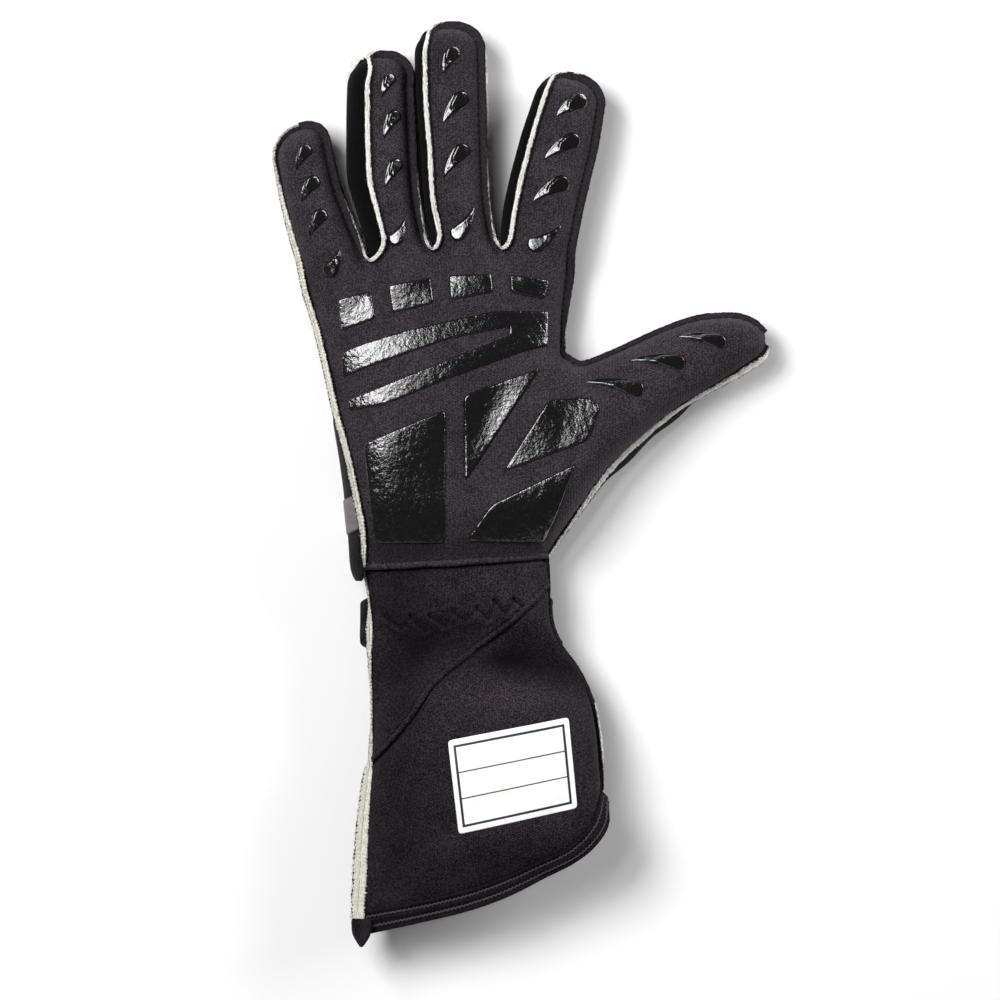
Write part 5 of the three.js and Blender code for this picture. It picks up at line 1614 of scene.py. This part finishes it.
class GLOVE_OT_seams(PieceOperator):
    """Make the raised, raw-edged seams"""

    bl_idname = "glove.seams"
    bl_label = "Raw-edged seams"

    def execute(self, context):
        sizes = context.scene.glove_sizes
        rng = np.random.default_rng(7)
        for seed, node in enumerate([*SEAM_ROWS, *FINGER_SEAMS, *BACK_SEAMS]):
            points, facing = seam_paths[node]
            if node == "cuff_left_seam":
                onward = (points[-1] - points[-2]) * np.arange(1, RUN_ON + 1)[:, None]
                points = np.concatenate([points, points[-1] + onward])
                facing = np.pad(facing, ((0, RUN_ON), (0, 0)), "edge")
            place, rows = seam_places(node, points)
            height, layer, lift = Table(rows).columns(place)
            height, layer = height * sizes.seam_height, layer * sizes.seam_layer
            behind = height
            if node in BACK_LAYER_SHOWS:
                reach, lift = Table(BACK_LAYER_SHOWS[node]).columns(place)
                behind = height + reach * (1 + 0.16 * along_noise(np.arange(len(points)) * SEAM_PITCH, 6, 5.0, seed))
            missing, share = CROTCH_FRAY
            frayed = 1 - missing * bell(place, share) * (node in FINGER_SEAMS)
            open_front = frayed * np.clip(0.2 + 3 * lift, 0, 1)
            open_behind = np.clip(reach - 0.3, 0, 1) if node in BACK_LAYER_SHOWS else open_front
            frames = frames_along(points, facing, lift)
            # The layer that faces the viewer lies on the palm's side, where the seam runs up the palm's own edge
            turn = -1 if node in OUTER_SEAMS else 1
            pinch = OVERLOCKED.get(node, 0.0)
            per_mm = 0.3 + 9 * np.clip(lift, 0, 1)
            parts = [
                (*flange_layer(points, frames, height, layer, turn, 31 + seed, pinch, open_front), 0),
                (*flange_layer(points, frames, behind, layer, -turn, 51 + seed, pinch, open_behind), 1),
                (*fibres(points, frames, -layer, layer, height, LOOSE_FIBRE, rng, per_mm), 2),
            ]
            per_mm = 3 if node in BACK_SEAMS else 6
            for rim, top in ((turn * layer, height), (-turn * layer, behind)):
                nap = fibres(points, frames, rim * 0.88, rim * 1.1, top - 0.1, NAP_HAIR, rng, per_mm, -0.7, 2.3)
                parts.append((*nap, 3))
            if node in PALM_STITCHES:
                _, out, across = frames
                at = np.arange(6, len(points) - 8, PALM_STITCH_PITCH)
                if node in FINGER_SEAMS:
                    at = at[place[at] < 0.1]
                root = points + out * 0.35 + across * (turn * (layer + 0.05))[:, None]
                ups = (across * turn + out * 0.6)[at]
                parts.append((*capsules(root[at], root[at + PALM_STITCH], ups, sizes.thread / MM), 4))
            joined, faces, core, picks = merge(parts)
            cloth = "gusset" if node in BACK_SEAMS else "cuff" if node in CUFF_SEAMS else "palm"
            names = [f"{name}_edge_old" if node in OUTER_SEAMS else f"{name}_edge" for name in (cloth, "gusset")]
            finishes = [*names, "loose_fibre", "knit_nap", "thread"]
            piece = new_mesh(
                node + "_edges", grounded(joined), faces, core[:, 1:], {"core": core[:, 0]}, picks, finishes)
            settle(piece, "seam", node)
        return {"FINISHED"}


def bead(name, node, radius, sunk, flat, finish, seed):
    """A rolled edge of cloth along a seam line."""
    points, facing = seam_paths[node]
    points = points + cuff_relief(points, facing)
    _, out, across = frames_along(points, facing, np.zeros(len(points)))
    place = np.arange(len(points)) * SEAM_PITCH
    wobble = along_noise(place, 0, 6.0, seed)
    size = radius * (1 + 0.14 * wobble + 0.07 * np.sin(place * 2 * math.pi / 2.6 + wobble))
    centre = points - out * sunk + across * (0.25 * wobble)[:, None]
    turns = np.linspace(0, 2 * math.pi, 13)[:-1]
    rings = np.stack([
        centre + out * (math.sin(turn) * size * flat)[:, None] + across * (math.cos(turn) * size)[:, None]
        for turn in turns
    ], 1)
    flat_points, faces = swept(rings)
    weave = np.stack([np.repeat(place, len(turns)), np.tile(turns * radius, len(points))], 1)
    return new_mesh(name, flat_points, faces, weave, finishes=[finish])


def stitch_row(points, normals, pitch, length, radius):
    """Stitches one after another along a line of points on the cloth."""
    lengths = run_lengths(points)
    starts = np.arange(pitch / 2, lengths[-1] - length, pitch)
    ends, ups = read_along(points, lengths, starts + length), read_along(normals, lengths, starts)
    return capsules(read_along(points, lengths, starts), ends, ups, radius)


LAP_ENDS = 12  # steps of the slanted seam that bear no stitches at each end
LAP_STITCHES_OFF = (-0.9, 1.5)  # from the seam to its row of stitches
LAP_STITCH = (2.4, 1.5)  # pitch and length


class GLOVE_OT_welts(PieceOperator):
    """Make the rolled tuck at the wrist and the lapped, stitched edge of the slanted cuff seam"""

    bl_idname = "glove.welts"
    bl_label = "Wrist tuck and lapped seam"

    def execute(self, context):
        settle(bead("wrist_tuck", "wrist_welt", 1.2, 0.1, 1.0, "palm_knit", 3), "cuff", "wrist_welt")
        settle(bead("slanted_lap", "slanted_seam", 1.0, 0.0, 0.95, "cuff_knit", 5), "cuff")
        line = seam_paths["slanted_seam"][0][LAP_ENDS:-LAP_ENDS, :2] + LAP_STITCHES_OFF
        points, normals = dropped(cloth_tree("cuff_wrist_palm_cloth"), line)
        thread = context.scene.glove_sizes.thread / MM
        sewn_piece("slanted_stitches", stitch_row(points + normals * 0.05, normals, *LAP_STITCH, thread), "cuff")
        return {"FINISHED"}


class GLOVE_OT_grips(PieceOperator):
    """Make the printed silicone grips on the palm and fingers"""

    bl_idname = "glove.grips"
    bl_label = "Silicone grips"

    def execute(self, context):
        height = context.scene.glove_sizes.pad_height / MM
        tree = cloth_tree("palm_panel_cloth")
        outlines = {
            f"grip_{finger}_{i + 1}": (tear_outline(*tear), 0.4, lambda flat, tear=tear: twisted_crest(flat, *tear))
            for finger, tears in TEARS.items() for i, tear in enumerate(tears)
        }
        outlines.update({name: (rounded_outline(*block), 0.6, None) for name, block in BLOCKS.items()})
        for seed, (name, (outline, pitch, ridge)) in enumerate(outlines.items()):
            finish = "silicone_drops" if ridge else "silicone"
            piece = pad_piece(
                name + "_silicone", tree, outline, height, pitch, finish, PAD_RELIEF, seed=60 + seed, ridge=ridge)
            settle(piece, "grip", name)
        return {"FINISHED"}


class GLOVE_OT_label(PieceOperator):
    """Make the bare label on the cuff: a pale film with a ruled frame and two dividers"""

    bl_idname = "glove.label"
    bl_label = "Ruled label"

    def execute(self, context):
        height = context.scene.glove_sizes.label_height / MM
        tree = cloth_tree("cuff_lower_palm_cloth")
        piece = pad_piece("label_film", tree, rounded_outline(*LABEL), height, 1.1, "label_film", 0.0, edge=0.3)
        settle(piece, "label", "label")
        _, corners = LABEL
        corners = np.array(corners)
        inset = lambda u, v: mix(mix(corners[0], corners[1], u), mix(corners[3], corners[2], u), v)
        u, v = LABEL_INSET
        a, b, c, d = inset(u, v), inset(1 - u, v), inset(1 - u, 1 - v), inset(u, 1 - v)
        strips = [(*ends, FRAME_HALF_WIDTH) for ends in ((a, b), (b, c), (c, d), (d, a))]
        strips.extend((mix(a, d, share), mix(b, c, share), RULE_HALF_WIDTH) for share in LABEL_RULES)
        label_tree = cloth_tree("label_film")
        parts = []
        for start, end, half in strips:
            run = (end - start) / norm(end - start)
            if half == FRAME_HALF_WIDTH:
                start, end = start - run * half, end + run * half
            normal = np.array((-run[1], run[0]))
            count = max(8, int(norm(end - start) / 0.8))
            line = np.array([mix(start, end, t) for t in np.linspace(0, 1, count)])
            left, _ = dropped(label_tree, line + normal * half)
            right, _ = dropped(label_tree, line - normal * half)
            up = np.array((0, 0, PRINT_HEIGHT))
            rings = np.stack([left + up, right + up, right - up * 2, left - up * 2], 1)
            flat, faces = swept(rings)
            parts.append((flat, faces, np.zeros((len(flat), 3)), 0))
        points, faces, _, _ = merge(parts)
        rules = new_mesh("label_rules", points, faces, points[:, :2], finishes=["label_print"])
        rules.data.polygons.foreach_set("use_smooth", np.zeros(len(rules.data.polygons), bool))
        settle(rules, "label")
        return {"FINISHED"}


ZIGZAG_STOUTNESS = 1.6  # against the sewing thread
CHAIN_PITCH, CHAIN_HALF, CHAIN_RADIUS = 0.78, 0.55, 0.33  # of the hem's chain stitch, with half its length
CHAIN_SPREAD, CHAIN_LIFT = (0.42, 0.16), (0.14, 0.16)  # of a stitch's start and end, off its row and off the cloth


class GLOVE_OT_stitches(PieceOperator):
    """Sew the wrist's zigzag and the hem's two rows of chain stitch"""

    bl_idname = "glove.stitches"
    bl_label = "Stitching"

    def execute(self, context):
        wrist = cloth_tree("cuff_wrist_palm_cloth")
        starts, ends, ups = [], [], []
        for a, b in zip(ZIGZAG, ZIGZAG[1:]):
            line = np.array([mix(np.array(a), np.array(b), t) for t in np.linspace(0.02, 0.98, 6)])
            points, normals = dropped(wrist, line)
            starts.extend(points[:-1])
            ends.extend(points[1:])
            ups.extend(normals[:-1])
        raised = np.array(ups) * 0.08
        radius = ZIGZAG_STOUTNESS * context.scene.glove_sizes.thread / MM
        sewn_piece("wrist_zigzag", capsules(starts + raised, ends + raised, ups, radius), "cuff")
        for side in ("palm", "back"):
            tree = cloth_tree(f"hem_{side}_cloth")
            starts, ends, ups = [], [], []
            for distance in HEM_ROWS_AT:
                share = distance / norm(hem_patch(0.5, 1) - hem_patch(0.5, 0))
                line = np.array([hem_patch(t, share) for t in np.linspace(0.01, 0.99, 60)])
                lengths = run_lengths(line)
                at = np.linspace(0, 1, int(lengths[-1] / CHAIN_PITCH) + 1) * lengths[-1]
                points, normals = dropped(tree, read_along(line, lengths, at), side == "back")
                run = unit(np.gradient(points, axis=0))
                across = np.cross(run, normals)
                lean = np.where(np.arange(len(points)) % 2 == 0, 1, -1)[:, None]
                starts.extend(points - run * CHAIN_HALF + across * CHAIN_SPREAD[0] * lean + normals * CHAIN_LIFT[0])
                ends.extend(points + run * CHAIN_HALF - across * CHAIN_SPREAD[1] * lean + normals * CHAIN_LIFT[1])
                ups.extend(normals)
            sewn_piece(f"hem_chain_{side}", capsules(starts, ends, ups, CHAIN_RADIUS, 5), "hem", "hem_thread")
        return {"FINISHED"}


RIM_HEIGHT = 0.6  # of a laid layer's own height


def laid_over(name, node, levels, keep, height, below, finish):
    """A closed layer over the part of a panel that keep picks, with a rounded edge."""
    points, cells, weave = subdivide(sheets[node], levels)
    normals = grid_normals(points, cells)
    used, cells = np.unique(cells[keep(points)[cells].all(1)], return_inverse=True)
    cells = cells.reshape(-1, 4)
    points, normals, weave = points[used], normals[used], weave[used]
    rim = np.zeros(len(points), bool)
    rim[border_edges(cells).ravel()] = True
    lift = height(points, normals) * np.where(rim, RIM_HEIGHT, 1.0)
    both, faces = double_wall(points + normals * lift[:, None], points - normals * below, cells)
    return new_mesh(name, both, faces, np.concatenate([weave, weave]), finishes=[finish])


STRAP_HEIGHT, STRAP_BULGE = 1.3, 3.0  # the bulge is where the strap rounds the little finger's side
STRAP_RIM = (0.25, 2.4, 0.8)  # its rolled rims: height, distance from the edge, half width
STRIPE_SLANT, STRIPE_END = 0.5, -58  # rise towards the thumb, and the x at which the stripe ends
TAB_HALF = 2.0  # half the tab's thickness
TAB_CLIMB = (15.5, 6.5)  # height of the tab's middle at its outer edge, and its rise towards the hem


class GLOVE_OT_trims(PieceOperator):
    """Make the wrist strap and the plain stripe on the back, and the rounded tab at the hem's corner"""

    bl_idname = "glove.trims"
    bl_label = "Strap, stripe and tab"

    def execute(self, context):
        def on_strap(points):
            return (points[:, 1] < STRAP_TOP - 0.2) & (points[:, 1] > STRAP_BOTTOM + 0.2)

        def strap_height(points, normals):
            edge = np.minimum(STRAP_TOP - points[:, 1], points[:, 1] - STRAP_BOTTOM)
            full = np.sqrt(np.clip(edge / 5, 0, 1) * (2 - np.clip(edge / 5, 0, 1)))
            outside = np.where(normals[:, 0] < 0, STRAP_BULGE * full, 0.2) * normals[:, 0] ** 2
            return STRAP_HEIGHT + outside + ridges(edge, [STRAP_RIM]) + 0.12 * ripples(points, 9.0, 8)

        def on_stripe(points):
            low, high = STRIPE
            slant = points[:, 1] - STRIPE_SLANT * (points[:, 0] + 62)
            return (slant > low) & (slant < high) & (points[:, 0] < STRIPE_END)

        def stripe_height(points, normals):
            return np.full(len(points), 0.5)

        strap = laid_over("wrist_strap_webbing", "cuff_back", 2, on_strap, strap_height, -0.4, "strap_webbing")
        settle(strap, "hem", "wrist_strap")
        settle(laid_over("back_stripe", "back_panel", 3, on_stripe, stripe_height, 0.4, "stripe_print"), "back")

        radius, corners = HEM_TAB
        flat, faces, inset = filled(rounded_outline(radius, corners, 0.35), 0.5)
        full = TAB_HALF * np.sqrt(np.maximum(0, 1 - (1 - np.clip(inset / TAB_HALF, 0, 1)) ** 2))
        outer, climb = TAB_CLIMB
        middle = outer + climb * eased(np.clip((flat[:, 0] + 62) / 6, 0, 1))
        worn = 0.15 * ripples(np.column_stack([flat, inset]), 2.5, 4)
        both = np.concatenate([
            np.column_stack([flat, level]) for level in (middle + full + worn, middle - 0.1 - full)])
        tab = new_mesh("hem_tab_cloth", both, closed_faces(flat, faces), both[:, :2], finishes=["hem_knit"])
        settle(tab, "hem", "hem_tab")
        return {"FINISHED"}


# Soft lights. Columns: name, place, size, power.
LAMPS = [
    ("key_softbox", (-0.88, 0.6, 1.12), (0.9, 0.7), 26.0),
    ("upper_strip", (-0.46, 0.34, 1.42), (0.9, 0.24), 3.2),
    ("right_softbox", (1.45, 0.8, 0.52), (1.1, 0.6), 28.0),
    ("near_fill", (-0.2, -1.6, 0.8), (2.0, 0.8), 2.5),
]


FLOOR_SIDE = 3.0  # half of it, in metres as all of the stage
FLOOR_HEIGHT = -0.0003
SKY_STRENGTH = 0.08
LENS, SENSOR = 250.0, 36.0
VIEW_WIDTH = 0.375
AIM = (-0.00774, -0.0075, 0.012)  # point that the camera stands over


class GLOVE_OT_stage(PieceOperator):
    """Set up the pale floor, the soft lights and the camera above the glove"""

    bl_idname = "glove.stage"
    bl_label = "Studio"

    def execute(self, context):
        scene = context.scene
        mesh = bpy.data.meshes.new("floor")
        corners = [(x * FLOOR_SIDE, y * FLOOR_SIDE, 0) for x, y in ((-1, -1), (1, -1), (1, 1), (-1, 1))]
        mesh.from_pydata(corners, [], [(0, 1, 2, 3)])
        mesh.materials.append(finish_named("floor_paper"))
        floor = new_object("floor", mesh)
        floor.location.z = FLOOR_HEIGHT

        scene.view_settings.view_transform = "Standard"
        world = bpy.data.worlds.new("studio")
        world.use_nodes = True
        background = world.node_tree.nodes["Background"]
        background.inputs[0].default_value = (1.0, 1.0, 1.0, 1.0)
        background.inputs[1].default_value = SKY_STRENGTH
        scene.world = world

        for name, place, size, power in LAMPS:
            lamp = bpy.data.lights.new(name, "AREA")
            lamp.shape = "RECTANGLE"
            lamp.size, lamp.size_y = size
            lamp.energy = power
            holder = new_object(name, lamp)
            holder.location = place
            holder.rotation_euler = (-Vector(place)).to_track_quat("-Z", "Y").to_euler()

        lens = bpy.data.cameras.new("camera")
        lens.lens, lens.sensor_width = LENS, SENSOR
        distance = VIEW_WIDTH / 2 / (lens.sensor_width / 2 / lens.lens)
        lens.clip_end = 20.0
        scene.camera = new_object("camera", lens)
        scene.camera.location = (AIM[0], AIM[1], AIM[2] + distance)
        return {"FINISHED"}


OPERATORS = (
    GLOVE_OT_panels, GLOVE_OT_seams, GLOVE_OT_welts, GLOVE_OT_grips, GLOVE_OT_label, GLOVE_OT_stitches,
    GLOVE_OT_trims, GLOVE_OT_stage,
)


class GLOVE_PT_panel(bpy.types.Panel):
    """Lists the glove's pieces, sizes and colours"""

    bl_idname = "GLOVE_PT_panel"
    bl_label = "Racing Glove"
    bl_space_type = "VIEW_3D"
    bl_region_type = "UI"
    bl_category = "Glove"

    def draw(self, context):
        layout = self.layout
        for operator in OPERATORS:
            layout.operator(operator.bl_idname)
        for group in (context.scene.glove_sizes, context.scene.glove_colours):
            box = layout.box()
            for key in group.__annotations__:
                box.prop(group, key)


CLASSES = (GloveSizes, GloveColours, *OPERATORS, GLOVE_PT_panel)


def register():
    for cls in CLASSES:
        bpy.utils.register_class(cls)
    bpy.types.Scene.glove_sizes = bpy.props.PointerProperty(type=GloveSizes)
    bpy.types.Scene.glove_colours = bpy.props.PointerProperty(type=GloveColours)


def unregister():
    del bpy.types.Scene.glove_colours
    del bpy.types.Scene.glove_sizes
    for cls in reversed(CLASSES):
        bpy.utils.unregister_class(cls)


def main():
    register()
    bpy.ops.glove.panels()
    bpy.ops.glove.seams()
    bpy.ops.glove.welts()
    bpy.ops.glove.grips()
    bpy.ops.glove.label()
    bpy.ops.glove.stitches()
    bpy.ops.glove.trims()
    bpy.ops.glove.stage()


if __name__ == "__main__":
    main()
